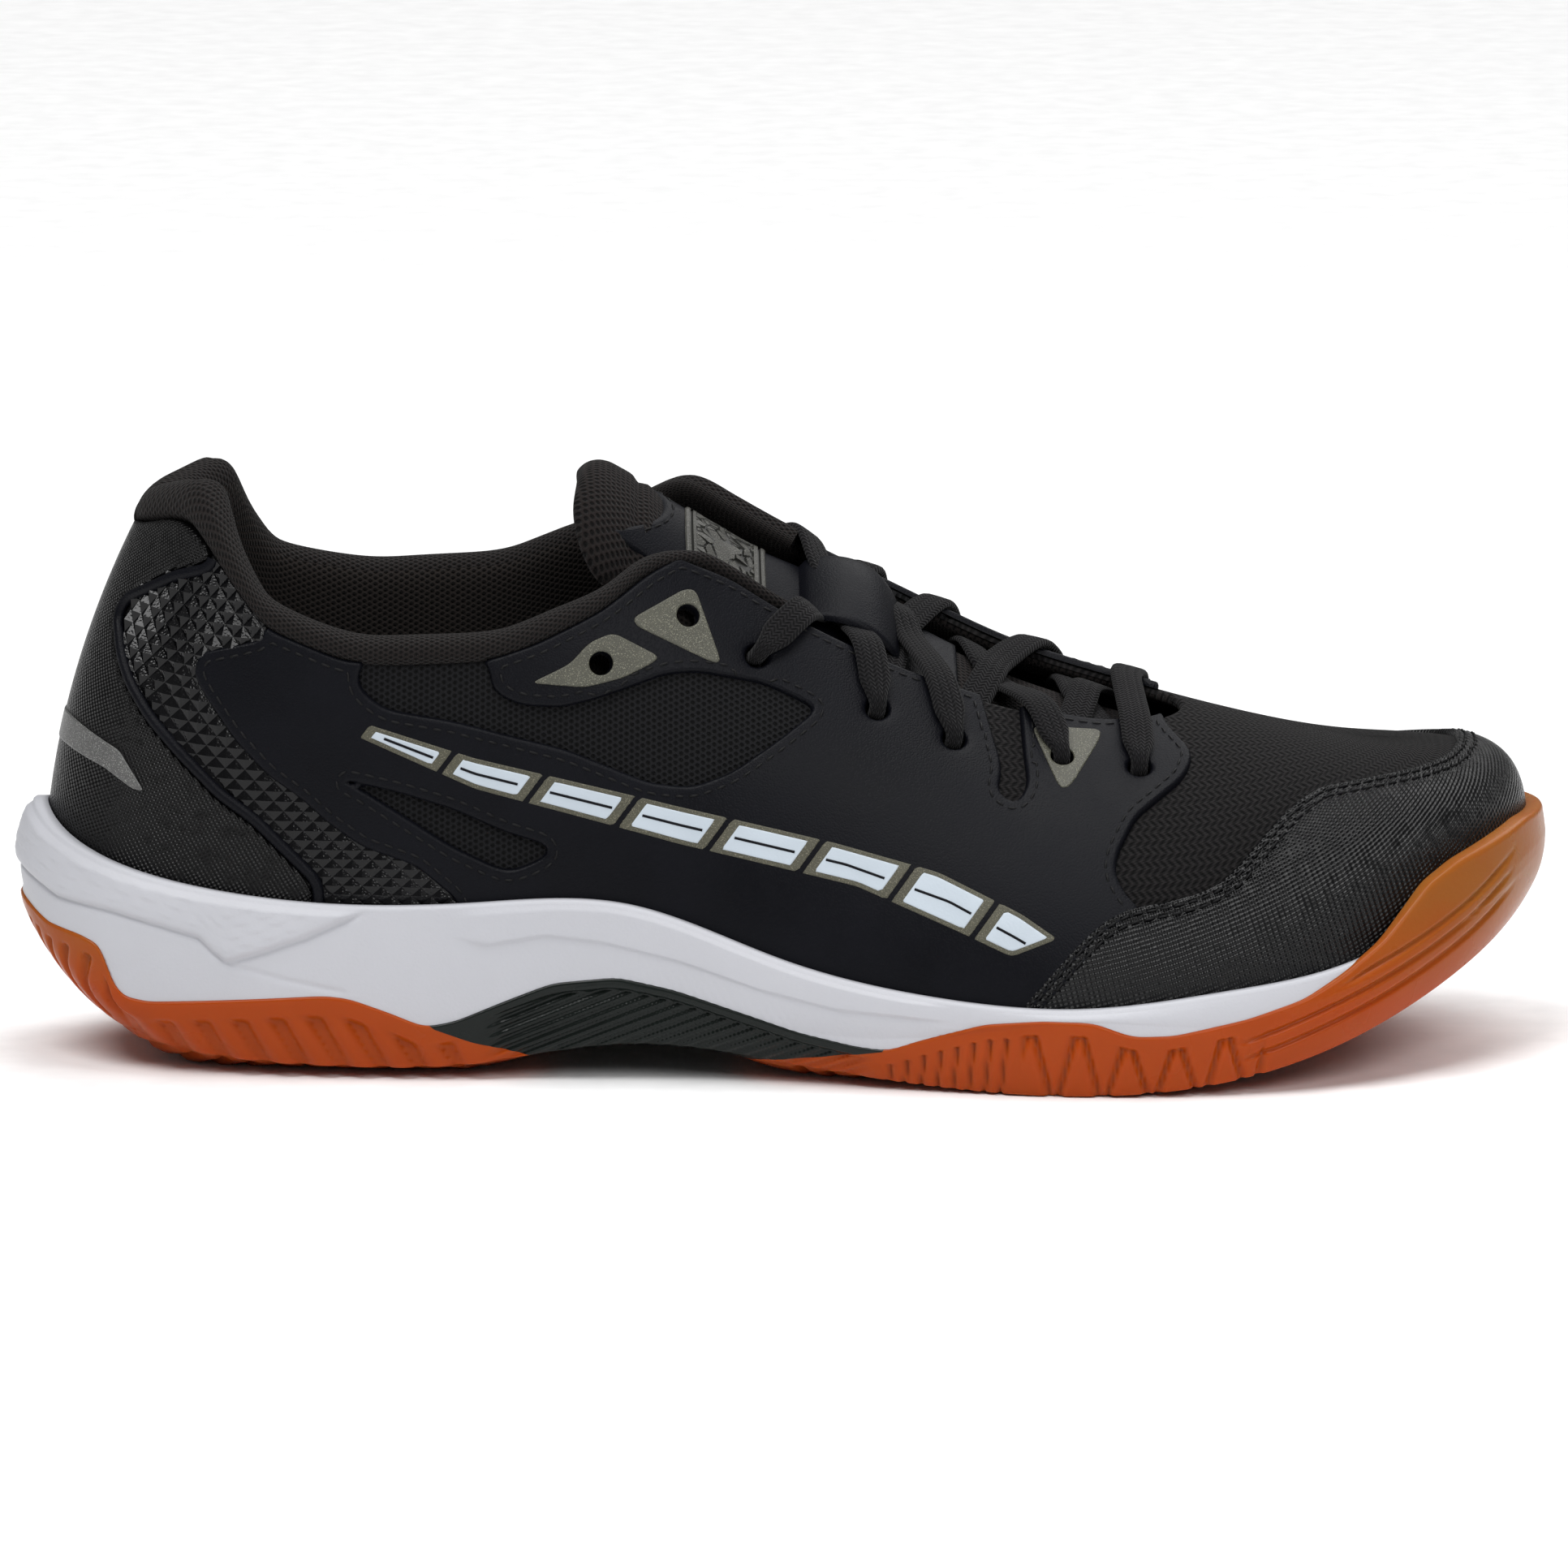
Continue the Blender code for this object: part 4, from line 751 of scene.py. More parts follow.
def chevron_mesh(name, dark, light, across_pitch=3.1, row_pitch=1.5):
    """The vamp's warp-knit: rows of small chevrons with holes between them."""
    graph = Graph(name, light, 0.88, 0.12, {"Sheen Weight": 0.04})
    zigzag = graph.math("PINGPONG", graph.v, across_pitch / 2)
    rows = graph.wave(graph.math("ADD", graph.u, graph.math("MULTIPLY", zigzag, 0.8)), row_pitch)
    ribs = graph.wave(graph.v, across_pitch / 2, math.pi / 2)
    slant = graph.math("MULTIPLY", graph.u, 0.4)
    threads = graph.wave(graph.math("SUBTRACT", graph.v, slant), 0.55)
    height = graph.fit(rows, -1, 1, 0.0, 0.62)
    height = graph.math("ADD", height, graph.fit(ribs, -1, 1, 0.0, 0.25))
    height = graph.math("ADD", height, graph.fit(threads, -1, 1, 0.0, 0.13))
    graph.colour(graph.mix(graph.fit(height, 0.15, 0.95), dark, light))
    graph.bump(height, 0.4)
    return graph.material


def grained(name, colour, roughness, grain, depth, gloss):
    """Smooth coated leather with a fine grain and uneven sheen."""
    graph = Graph(name, colour, roughness, gloss)
    pores = graph.cells(grain)
    large = graph.noise(60, 4.0)
    height = graph.math("ADD", graph.fit(pores, 0, 0.6), graph.math("MULTIPLY", large, 0.4))
    graph.colour(graph.mix(graph.fit(large, 0.35, 0.7), colour, shade(colour, 1.35)))
    graph.rough(graph.fit(large, 0.3, 0.7, roughness - 0.05, roughness + 0.07))
    graph.bump(height, depth)
    return graph.material


def cross_grain(name, colour, roughness, pitch_u, pitch_v, depth, slant, gloss):
    """Coated leather pressed with a fine cross-hatch, its threads uneven in length."""
    graph = Graph(name, colour, roughness, gloss)
    u = graph.math("ADD", graph.u, graph.math("MULTIPLY", graph.v, slant))
    v = graph.math("SUBTRACT", graph.v, graph.math("MULTIPLY", graph.u, slant))
    streak = graph.noise(420, 2.0)
    uneven = graph.math("MULTIPLY", streak, 0.3)
    a = graph.wave(graph.math("ADD", u, uneven), pitch_u)
    b = graph.wave(graph.math("ADD", v, uneven), pitch_v)
    height = graph.math("ADD", graph.fit(a, -1, 1, 0, 0.5), graph.fit(b, -1, 1, 0, 0.5))
    height = graph.math("MULTIPLY", height, graph.fit(streak, 0.3, 0.6, 0.55, 1.0))
    graph.colour(graph.mix(graph.fit(height, 0.2, 0.9), shade(colour, 0.6), shade(colour, 1.5)))
    graph.rough(graph.fit(height, 0, 1, roughness + 0.12, roughness - 0.06))
    graph.bump(height, depth)
    return graph.material


def speckled(name, colour, flecks, roughness):
    """Printed film with fine metallic flecks."""
    graph = Graph(name, colour, roughness)
    dots = graph.noise(4200, 1.0)
    cloud = graph.noise(160, 3.0)
    base = graph.mix(graph.fit(cloud, 0.35, 0.65), shade(colour, 0.85), colour)
    graph.colour(graph.mix(graph.fit(dots, 0.58, 0.66), base, flecks))
    graph.bump(graph.fit(dots, 0.4, 0.7), 0.05)
    return graph.material


def film(name, colour, roughness, gloss=0.5):
    """Plain printed film, a little uneven and scuffed."""
    graph = Graph(name, colour, roughness, gloss)
    cloud = graph.noise(90, 5.0)
    fine = graph.noise(1800, 2.0)
    graph.colour(graph.mix(graph.fit(cloud, 0.3, 0.7), shade(colour, 0.93), colour))
    graph.rough(graph.fit(cloud, 0.3, 0.7, roughness - 0.05, roughness + 0.08))
    graph.bump(fine, 0.03)
    return graph.material


def foam(name, colour, roughness):
    """Moulded foam: fine orange peel and a very slight soiling."""
    graph = Graph(name, colour, roughness, inputs={
        "Subsurface Weight": 0.08, "Subsurface Radius": (0.004, 0.004, 0.004)})
    fine = graph.noise(1500, 3.0)
    cloud = graph.noise(35, 5.0)
    graph.colour(graph.mix(graph.fit(cloud, 0.3, 0.75), colour, shade(colour, 0.95)))
    graph.bump(fine, 0.06)
    return graph.material


def gum_rubber(name, colour, pale, roughness):
    """Translucent gum, paler and yellower where it rises at the toe."""
    graph = Graph(name, colour, roughness, 0.14, {
        "Subsurface Weight": 0.35, "Subsurface Radius": (0.008, 0.003, 0.001),
        "Subsurface Scale": 0.8})
    parts = graph.tree.nodes.new("ShaderNodeSeparateXYZ")
    graph.tree.links.new(graph.object, parts.inputs[0])
    toe = graph.fit(parts.outputs[2], 0.016, 0.036)
    cloud = graph.noise(50, 4.0)
    base = graph.mix(toe, colour, pale)
    graph.colour(graph.mix(graph.fit(cloud, 0.3, 0.7, 0.0, 0.35), base, shade(colour, 0.8)))
    graph.rough(graph.fit(cloud, 0.3, 0.7, roughness - 0.06, roughness + 0.08))
    graph.bump(graph.noise(900, 3.0), 0.05)
    return graph.material


def braid(name, dark, light):
    """Flat braid: fine herringbone along the lace."""
    graph = Graph(name, light, 0.85, 0.12, {"Sheen Weight": 0.05})
    fold = graph.math("PINGPONG", graph.v, 0.9)
    rows = graph.wave(graph.math("ADD", graph.u, graph.math("MULTIPLY", fold, 1.1)), 1.0)
    strands = graph.wave(graph.v, 0.9, math.pi / 2)
    height = graph.math("ADD", graph.fit(rows, -1, 1, 0, 0.65), graph.fit(strands, -1, 1, 0, 0.35))
    graph.colour(graph.mix(graph.fit(height, 0.2, 0.9), dark, light))
    graph.bump(height, 0.3)
    return graph.material


OVERLAY = grained("matte_synthetic", (0.0020, 0.0022, 0.0038), 0.45, 2400, 0.04, gloss=0.11)
TOE_LEATHER = cross_grain("toe_cross_grain", (0.0018, 0.0018, 0.0022), 0.25, 1.05, 0.85, 0.3,
                          slant=0.25, gloss=0.24)
HEEL_LEATHER = cross_grain("heel_linen", (0.0018, 0.0017, 0.0019), 0.25, 0.95, 0.8, 0.3,
                           slant=0.6, gloss=0.18)
PYRAMID = grained("embossed_gloss", (0.0018, 0.0018, 0.0022), 0.18, 1800, 0.03, gloss=0.26)
THREAD = film("thread", (0.0035, 0.0035, 0.004), 0.55, gloss=0.2)
VAMP_MESH = chevron_mesh("vamp_knit", (0.0008, 0.0008, 0.0009), (0.0125, 0.0112, 0.0115))
WINDOW_MESH = knit("window_mesh", (0.0006, 0.0006, 0.0007), (0.0088, 0.0088, 0.0098), 1.1, 0.5,
                   sheen=0.02)
COLLAR_KNIT = knit("collar_knit", (0.0018, 0.0015, 0.0015), (0.0135, 0.0110, 0.0104), 0.98, 0.4)
LINING_KNIT = knit("lining_knit", (0.003, 0.0024, 0.0022), (0.018, 0.0145, 0.013), 1.05, 0.36, 0.05)
TONGUE_KNIT = knit("tongue_knit", (0.0015, 0.0013, 0.0013), (0.0140, 0.011, 0.0105), 0.95, 0.4)
KHAKI = speckled("khaki_film", (0.056, 0.055, 0.039), (0.165, 0.162, 0.12), 0.5)
KHAKI_EDGE = speckled("khaki_edge", (0.060, 0.057, 0.035), (0.14, 0.13, 0.09), 0.55)
PALE_BAND = film("pale_grey_band", (0.47, 0.53, 0.59), 0.42)
SILVER = speckled("silver_film", (0.085, 0.085, 0.083), (0.26, 0.26, 0.25), 0.35)
LABEL = speckled("label_film", (0.036, 0.035, 0.029), (0.10, 0.10, 0.085), 0.45)
# painted shade: the darker material laid in the label's grooves and cracks
LABEL_GROOVE_SHADE = film("label_groove_shade", (0.012, 0.012, 0.010), 0.5)
MIDSOLE = foam("white_foam", (0.49, 0.495, 0.53), 0.5)
GUM = gum_rubber("gum_rubber", (0.35, 0.052, 0.004), (0.27, 0.097, 0.016), 0.28)
SHANK = grained("shank_plastic", (0.0035, 0.0055, 0.0046), 0.26, 900, 0.02, gloss=0.22)
LACE = braid("lace_braid", (0.0010, 0.0010, 0.0014), (0.0098, 0.0090, 0.0100))
PLASTIC = film("black_plastic", (0.012, 0.012, 0.013), 0.3)
BOARD = film("board", (0.5, 0.49, 0.45), 0.85)
GEL = film("gel", (0.28, 0.40, 0.50), 0.25)
STIFF = film("stiffener", (0.7, 0.7, 0.7), 0.6)

# ---------------------------------------------------------------------------------------------
# Outlines, in side view (x, z) or plan (x, y)
# ---------------------------------------------------------------------------------------------
TOPLINE_LATERAL = [(-150, 104), (-127.5, 105.3), (-118.8, 108.4), (-114, 105.9), (-105.3, 93.8),
                   (-100.6, 88.3), (-85.5, 82.3), (-73.7, 81.6), (-57.8, 82.4), (-48.3, 85.4),
                   (-35.6, 91.3), (-26.1, 98), (-20, 100.5)]
TOPLINE_MEDIAL = [(-150, 104), (-127.5, 105.3), (-118.8, 108.4), (-114, 106.5), (-105.3, 96.5),
                  (-100.6, 92), (-85.5, 88.5), (-73.7, 88.5), (-57.8, 90), (-48.3, 93),
                  (-35.6, 99), (-26.1, 105), (-20, 107)]
THROAT = [(-23, -17.5), (-10, -14.6), (5, -14.6), (25, -15), (46, -13.5), (62, -12.5),
          (72, -8.5), (77.5, -2), (79, 3), (77.5, 8), (72, 12), (62, 14.5), (46, 15.6), (25, 16),
          (5, 15.6), (-10, 15.6), (-23, 17)]
TOE_CAP = [(45.3, 5), (45.3, 17.1), (52.3, 25.1), (56.4, 29.5), (61.1, 33.7), (66.4, 36.3),
           (73.6, 37.4), (81.2, 39.1), (86, 41.7), (92.2, 47.9), (97.4, 52.9), (103.7, 56.5),
           (113.4, 57.6), (123.4, 58.6), (130.4, 59.8), (134.6, 62), (136, 70), (160, 70), (160, 5)]
HEEL_CAP = [(-91.5, 15), (-91.5, 38.6), (-98.4, 45.4), (-103.8, 50.6), (-110.4, 55.2),
            (-118.7, 63.4), (-124.5, 69.7), (-128.6, 75.9), (-130.4, 81), (-131.3, 88.2),
            (-129, 92.5), (-118.8, 98.4), (-111.7, 100.4), (-111.7, 120), (-160, 120), (-160, 15)]
OVERLAY_REAR = [(-62, 15), (-63.7, 35.7), (-71.6, 42.3), (-82, 45.9), (-88.7, 50.5),
                (-93.8, 55.1), (-100.6, 59.8), (-107.2, 66.8), (-112.8, 74.9), (-115.2, 78.9),
                (-113.9, 83.3), (-101, 86.4)]
OVERLAY_FRONT = [(74.4, 67), (80.3, 62), (78.2, 58.4), (68.5, 52), (64.8, 45.9), (64.2, 42.5),
                 (66.3, 38.7), (69.1, 36.2)]
UPPER_WINDOW = [(-82.7, 80), (-82.1, 76.7), (-77.5, 73), (-64.1, 70.7), (-41.9, 65.1),
                (-26.2, 58.8), (-18, 58), (-10.4, 60.7), (-1.2, 66.6), (6.4, 72), (3.5, 73.7),
                (-3.9, 77.1), (-16.8, 79.6), (-22.8, 79.3), (-35.7, 75), (-43.3, 73.2),
                (-51.5, 73.8), (-56.7, 76.5), (-57.3, 82), (-62, 84), (-80, 84)]
LOWER_WINDOW = [(-85.9, 59.1), (-75, 56.7), (-64.3, 53.5), (-54.1, 49), (-46.6, 46.8),
                (-45.9, 45.1), (-48.2, 43.5), (-52.7, 41.7), (-55.6, 42.1), (-64.4, 46.2),
                (-75, 52.9), (-81.9, 57.2)]
FRONT_SLOT = [(37, 78), (42.8, 60.6), (41.5, 56.8), (45, 54.5), (47.6, 57.8), (46.8, 63),
              (45.8, 78)]
HEEL_STRIP = [(-150, 68.5), (-140.2, 68), (-129.6, 63.1), (-124.6, 55.7), (-126.8, 55.8),
              (-132.5, 59.3), (-141.5, 62.4), (-150, 62.6)]
SIDE_BAND = [(-103.3, 77.2), (-60, 63.6), (-20, 54.2), (10, 47.6), (30, 42.4), (46, 35),
             (53, 30.5), (44, 27), (34, 31.4), (14, 39.6), (-20, 47), (-60, 57.6), (-98.8, 74.7)]
PATCHES = {
    "rear": [(-49.2, 78), (-41.6, 81.5), (-37.8, 85.5), (-33.2, 87.2), (-24.3, 82.5),
             (-25.1, 81.5), (-31.1, 78.7), (-38.7, 77)],
    "top": [(-29.4, 89.8), (-19.5, 94.5), (-17.2, 94.2), (-12.2, 81), (-13.7, 80.8),
            (-28.7, 88.2)],
    "front": [(49.3, 67), (61.9, 65.9), (61.9, 64.7), (55.7, 57), (53.7, 56.7), (48.6, 66.5)],
}
PATCH_LIFT_MEDIAL = {"rear": 7.5, "top": 8.7, "front": 7.0}
EYELETS = {
    "lateral": [(69.3, 59.9), (54.2, 62), (33.1, 65.9), (18.2, 71.4), (-5.3, 81.7),
                (-18.8, 89.9), (-35.6, 81.5)],
    "medial": [(69.3, 65.3), (54.2, 69.2), (33.1, 75.4), (18.2, 82.1), (-5.3, 92.4),
               (-18.8, 98.6), (-35.6, 89)],
}
EYELET_RADIUS = 2.1
BAND_LINE = [(-103, 76), (-94, 73.6), (-60, 60.6), (-20, 50.7), (12, 43.6), (32, 37), (45, 30.5),
             (53, 26)]
BAND_LINE_FROM, BAND_LINE_TO = -78, 47
BLOCK_SLANT, BLOCK_FROM, BLOCK_PITCH, BLOCK_GAP = 0.75, -96.0, 21.0, 3.4
BLOCK_FIRST, BLOCK_MIDDLE_Z = -94.3, 50
BLOCK_SQUARE = 0.9  # turns a distance along the band into one square to a block's slanted side
EDGING = 1.0
QUARTER_SEAM_X = 32.0
PATCH_EYELET = {"front": 1, "top": 5, "rear": 6}
TOPLINES = {"lateral": (TOPLINE_LATERAL, 104), "medial": (TOPLINE_MEDIAL, 110)}
TOE_DOME = (2.0, 26.0)
HEEL_DOME = (-12.2, 12.2)


def opening_field(sheet):
    """Return how far outside the foot opening and the throat each point is."""
    fields = []
    for side, (topline, front_z) in TOPLINES.items():
        outline = [(-170, 190), (-170, topline[0][1])] + topline + [(-16, front_z), (-16, 190)]
        fields.append(-inside_side(sheet, outline, side, 3.0))
    fields.append(-inside_plan(sheet, THROAT, 3.0))
    return np.minimum.reduce(fields)


def eyelet_field(sheet, side, numbers, radius=EYELET_RADIUS):
    """Return the distance outside the eyelets."""
    nearest = np.full(len(sheet["side"]), 99.0)
    for number in numbers:
        q, t = EYELET_PLACES[side][number]
        centre = read_last(q, t)[0]
        nearest = np.minimum(nearest, np.linalg.norm(sheet["point"] - centre, axis=1) - radius)
    return nearest


def punched(sheet):
    """Return the distance outside the eyelets of both sides."""
    return np.minimum.reduce([eyelet_field(sheet, side, range(7)) for side in SIDES])


EYELET_PLACES = {side: [find_side(x, z, side == "medial") for x, z in EYELETS[side]]
                 for side in SIDES}

# ---------------------------------------------------------------------------------------------
# The upper
# ---------------------------------------------------------------------------------------------
MESH_GRID = (0.046, 92)
TOE_TOP, HEEL_TOP = OVERLAY_TOP + 0.15, OVERLAY_TOP + 0.1
CORD_SIDES = 10
OVERLAY_SEAM, SEAM_TO_HOLE = 2.1, 3.5
DIMPLE_DEPTH, DIMPLE_WIDTH = 0.5, 0.7
OVERLAY_AREA = OVERLAY_REAR + [(-101, 190), (74, 190)] + OVERLAY_FRONT + [(72, 10)]
HEEL_AREA = OVERLAY_REAR[::-1] + [(-88, 15), (-145, 15), (-145, 125), (-98, 125)]
PYRAMID_ROWS, PYRAMID_COLUMNS, PYRAMID_STEP = 34, 36, 1.9
PYRAMID_MIDDLE, PYRAMID_FOOT, PYRAMID_BASE = 3.4, 8, 2.15


def build_mesh_layer():
    toe = dome(*TOE_DOME, *MESH_GRID)
    area = np.minimum.reduce([toe["point"][:, 0] - QUARTER_SEAM_X, -inside_plan(toe, THROAT),
                              punched(toe)])
    panel("vamp", toe, area, MESH_LOW, MESH_TOP, VAMP_MESH, ("vamp_mesh",), rim=1.2)
    heel = dome(*HEEL_DOME, *MESH_GRID)
    area = np.minimum.reduce([QUARTER_SEAM_X - heel["point"][:, 0], opening_field(heel),
                              punched(heel)])
    panel("quarter", heel, area, MESH_LOW, MESH_TOP, WINDOW_MESH,
          ("lateral_quarter_mesh", "medial_quarter_mesh"), rim=1.0)


def build_caps():
    toe = dome(7.2, 20.8, 0.04, 110)
    area = with_sole(toe, inside_side(toe, TOE_CAP, None, 2.5), 12)
    panel("toe_guard", toe, area, MESH_TOP, TOE_TOP, TOE_LEATHER, ("toe_cap",), rim=0.8,
          seams=(1.6, 3.1))
    heel = dome(-5.2, 5.2, 0.03, 120)
    area = np.minimum(inside_side(heel, HEEL_CAP), opening_field(heel))
    panel("heel_guard", heel, area, MESH_TOP, HEEL_TOP, HEEL_LEATHER, ("heel_cap",), rim=1.1)
    for side in SIDES:
        low, high = (0.1, 5.2) if side == "lateral" else (-5.2, -0.1)
        one = dome(low, high, 0.04, 110)
        one["edge"] = inside_side(one, HEEL_CAP) + 0.9
        one["open"] = opening_field(one)
        lines = contour(split(one, "open", 0.4, keep_above=True), "edge", 0.0)
        piping(f"{side}_heel_piping", [line for line in lines if len(line) > 60], 1.15,
               OVERLAY_TOP - 0.55, OVERLAY)


def piping(name, runs, radius, height, material):
    """Lay a round cord along runs over the last."""
    points, faces, uv = [], [], []
    for run in runs:
        fine, _ = resample(run, 1.0)
        faces.append(flipped(tube_faces(len(fine), CORD_SIDES)) + len(points))
        for i, here in enumerate(fine):
            before, after = fine[max(i - 1, 0)], fine[min(i + 1, len(fine) - 1)]
            points += circle_at(here, after[:3] - before[:3], height, radius, CORD_SIDES)
            uv += [(i, a * radius) for a in np.arange(CORD_SIDES) * 2 * math.pi / CORD_SIDES]
    if points:
        thing = make_mesh(name, np.array(points), np.concatenate(faces), np.array(uv))
        finish_piece(thing, material)


def build_overlays():
    for side in SIDES:
        sheet = side_dome(side, 2.2, 11.8, 0.036, 120)
        sheet["holes"] = eyelet_field(sheet, side, range(7))
        sewn = [inside_side(sheet, OVERLAY_AREA, side), opening_field(sheet)]
        for window in (UPPER_WINDOW, LOWER_WINDOW, FRONT_SLOT):
            sewn.append(-inside_side(sheet, window, side, 2.5))
        sewn = np.minimum.reduce(sewn)
        # the overlay runs 2.5 mm under the toe cap, and is punched
        area = np.minimum.reduce([sewn, 2.5 - inside_side(sheet, TOE_CAP, None, 2.5),
                                  sheet["holes"]])
        sheet["area"] = with_sole(sheet, area, 26)
        sheet["seam"] = with_sole(sheet, sewn, 30)
        sheet["seam"] = np.where(sheet["holes"] < SEAM_TO_HOLE, REACH, sheet["seam"])

        def dimple(cut):
            return -DIMPLE_DEPTH * np.exp(-np.maximum(cut["holes"], 0) / DIMPLE_WIDTH)
        node = f"{side}_quarter_overlay"
        panel(f"{side}_overlay", sheet, sheet["area"], MESH_TOP, OVERLAY_TOP, OVERLAY, (node,),
              rim=0.75, extra=dimple)
        kept = split(sheet, "area", 0.3, keep_above=True)
        stitch_row(f"{side}_overlay_seam", kept, "seam", OVERLAY_SEAM, OVERLAY_TOP - 0.02)


def pyramid_sheet(side):
    """Make a lattice of small pyramids over the heel panel, larger towards the collar."""
    middle_u = around_mm(PYRAMID_MIDDLE)
    points_q, points_t, lift = [], [], []
    index = {}

    def at(i, j, high):
        key = (i, j, high)
        if key not in index:
            u = middle_u + (i - PYRAMID_COLUMNS / 2) * PYRAMID_STEP
            q = np.interp(u, GIRTH, TABLE_STEPS)
            index[key] = len(points_q)
            points_q.append(q if side == "lateral" else -q)
            points_t.append(min(1.0, (PYRAMID_FOOT + 1.6 * j + 0.012 * j * j) / rib_mm(q)))
            lift.append(float(high))
        return index[key]
    triangles = []
    for j in range(1, 2 * PYRAMID_ROWS):
        for i in range(1, 2 * PYRAMID_COLUMNS):
            if (i + j) % 2:
                continue
            corners = [at(i + 1, j, False), at(i, j + 1, False), at(i - 1, j, False),
                       at(i, j - 1, False)]
            top = at(i, j, True)
            for a, b in zip(corners, corners[1:] + corners[:1]):
                triangles.append((top, a, b) if side == "lateral" else (top, b, a))
    sheet = sheet_of(np.array(points_q), np.array(points_t), np.array(triangles))
    sheet["lift"] = np.array(lift)
    return sheet


def build_heel_panels():
    for side in SIDES:
        sheet = pyramid_sheet(side)
        # the panel runs 0.6 mm under the overlay and the heel cap
        sheet["edge"] = np.minimum.reduce([
            inside_side(sheet, HEEL_AREA, side) + 0.6, opening_field(sheet),
            0.6 - inside_side(sheet, OVERLAY_AREA, side), 0.6 - inside_side(sheet, HEEL_CAP)])
        sheet = split(sheet, "edge", 0.0, keep_above=True)
        size = 0.35 + 0.55 * np.clip((sheet["point"][:, 2] - 60) / 30, 0, 1)
        height = PYRAMID_BASE + sheet["lift"] * size * 1.1
        points = sheet["point"] + sheet["normal"] * height[:, None]
        thing = make_mesh(f"{side}_pyramid_panel", points, sheet["triangles"], sheet["uv"],
                          smooth=False)
        finish_piece(thing, PYRAMID, (f"{side}_heel_panel",))


def block_place(points):
    """Return how far along the band each point is, with the blocks' slant taken out."""
    return points[:, 0] - BLOCK_SLANT * (points[:, 2] - BLOCK_MIDDLE_Z)


def build_band(side):
    """Lay the row of slanted blocks, their edging, and the line that runs through them."""
    node = f"{side}_side_band"
    sheet = side_dome(side, 2.4, 11.6, 0.03, 170, 0.05, 0.75)
    band = inside_side(sheet, SIDE_BAND, side, 1.2)
    seen = seen_at(sheet)
    along = block_place(seen)
    phase = np.mod(along - BLOCK_FROM, BLOCK_PITCH)
    block = BLOCK_SQUARE * np.minimum.reduce([
        phase - BLOCK_GAP / 2, BLOCK_PITCH - BLOCK_GAP / 2 - phase, along - BLOCK_FIRST])
    panel(f"{side}_band_edging", sheet, np.minimum(band, block + EDGING), OVERLAY_TOP - 0.1,
          OVERLAY_TOP + 0.12, KHAKI_EDGE, rim=0.3)
    panel(f"{side}_band", sheet, np.minimum(band, block) - 0.9, OVERLAY_TOP, FILM_TOP, PALE_BAND,
          (node,), rim=0.25)
    sheet["line"] = seen[:, 2] - np.interp(seen[:, 0], *np.array(BAND_LINE).T)
    runs = []
    for run in contour(sheet, "line", 0.0):
        at = run[:, :3] + OVERLAY_TOP * run[:, 3:]
        phase = np.mod(block_place(at) - BLOCK_FROM, BLOCK_PITCH)
        within = np.minimum(phase, BLOCK_PITCH - phase) > BLOCK_GAP / 2 + 1.6
        within &= (at[:, 0] > BAND_LINE_FROM) & (at[:, 0] < BAND_LINE_TO)
        ends = np.flatnonzero(np.diff(np.concatenate([[0], within.astype(int), [0]])))
        runs += [run[i:j] for i, j in zip(ends[::2], ends[1::2]) if j - i > LEAST_RUN]
    piping(f"{side}_band_line", runs, 0.28, FILM_TOP - 0.08, OVERLAY)


def build_patches(side):
    for name, outline in PATCHES.items():
        lift = PATCH_LIFT_MEDIAL[name] if side == "medial" else 0.0
        sheet = side_dome(side, 5.0, 10.0, 0.02, 220, 0.35, 0.98)
        area = inside_side(sheet, [(x, z + lift) for x, z in outline], side, 1.6)
        hole = eyelet_field(sheet, side, [PATCH_EYELET[name]], EYELET_RADIUS + 0.2)
        panel(f"{side}_{name}_khaki", sheet, np.minimum(area, hole), OVERLAY_TOP - 0.05, FILM_TOP,
              KHAKI, (f"{side}_{name}_patch",), rim=0.3)


def build_trim():
    heel = dome(-3.2, 3.2, 0.02, 160, 0.1, 0.6)
    panel("heel_reflector", heel, inside_side(heel, HEEL_STRIP, None, 1.0), OVERLAY_TOP,
          FILM_TOP + 0.1, SILVER, ("heel_strip",), rim=0.35)
    for side in SIDES:
        build_band(side)
        build_patches(side)


# ---------------------------------------------------------------------------------------------
# Collar and lining
# ---------------------------------------------------------------------------------------------
COLLAR_THROAT = {"lateral": [(3.5, -14.6), (-3, -14.5), (-10, -14.6), (-17, -16)],
                 "medial": [(3.5, 15.6), (-3, 15.6), (-10, 15.6), (-17, 16.4)]}
HEEL_BACK = (-130.5, 104.6)


def collar_path(side):
    """Return q and t along the topline from the throat's front back to the heel."""
    medial = side == "medial"
    places = [find_plan(x, y) for x, y in COLLAR_THROAT[side]]
    places += [find_side(x, z, medial) for x, z in TOPLINES[side][0][-2:0:-1]]
    places = [(q - AROUND if medial else q, t) for q, t in places if medial or q < TOE]
    return np.array(places + [(0.0, find_side(*HEEL_BACK)[1])])


def catmull(points, per_step):
    """Return a smooth line through the points."""
    ends = np.vstack([2 * points[0] - points[1], points, 2 * points[-1] - points[-2]])
    made = []
    for i in range(1, len(ends) - 2):
        p0, p1, p2, p3 = ends[i - 1:i + 3]
        for u in np.linspace(0, 1, per_step, endpoint=False):
            made.append(0.5 * (2 * p1 + (p2 - p0) * u + (2 * p0 - 5 * p1 + 4 * p2 - p3) * u ** 2
                               + (3 * p1 - p0 - 3 * p2 + p3) * u ** 3))
    made.append(points[-1])
    return np.array(made)


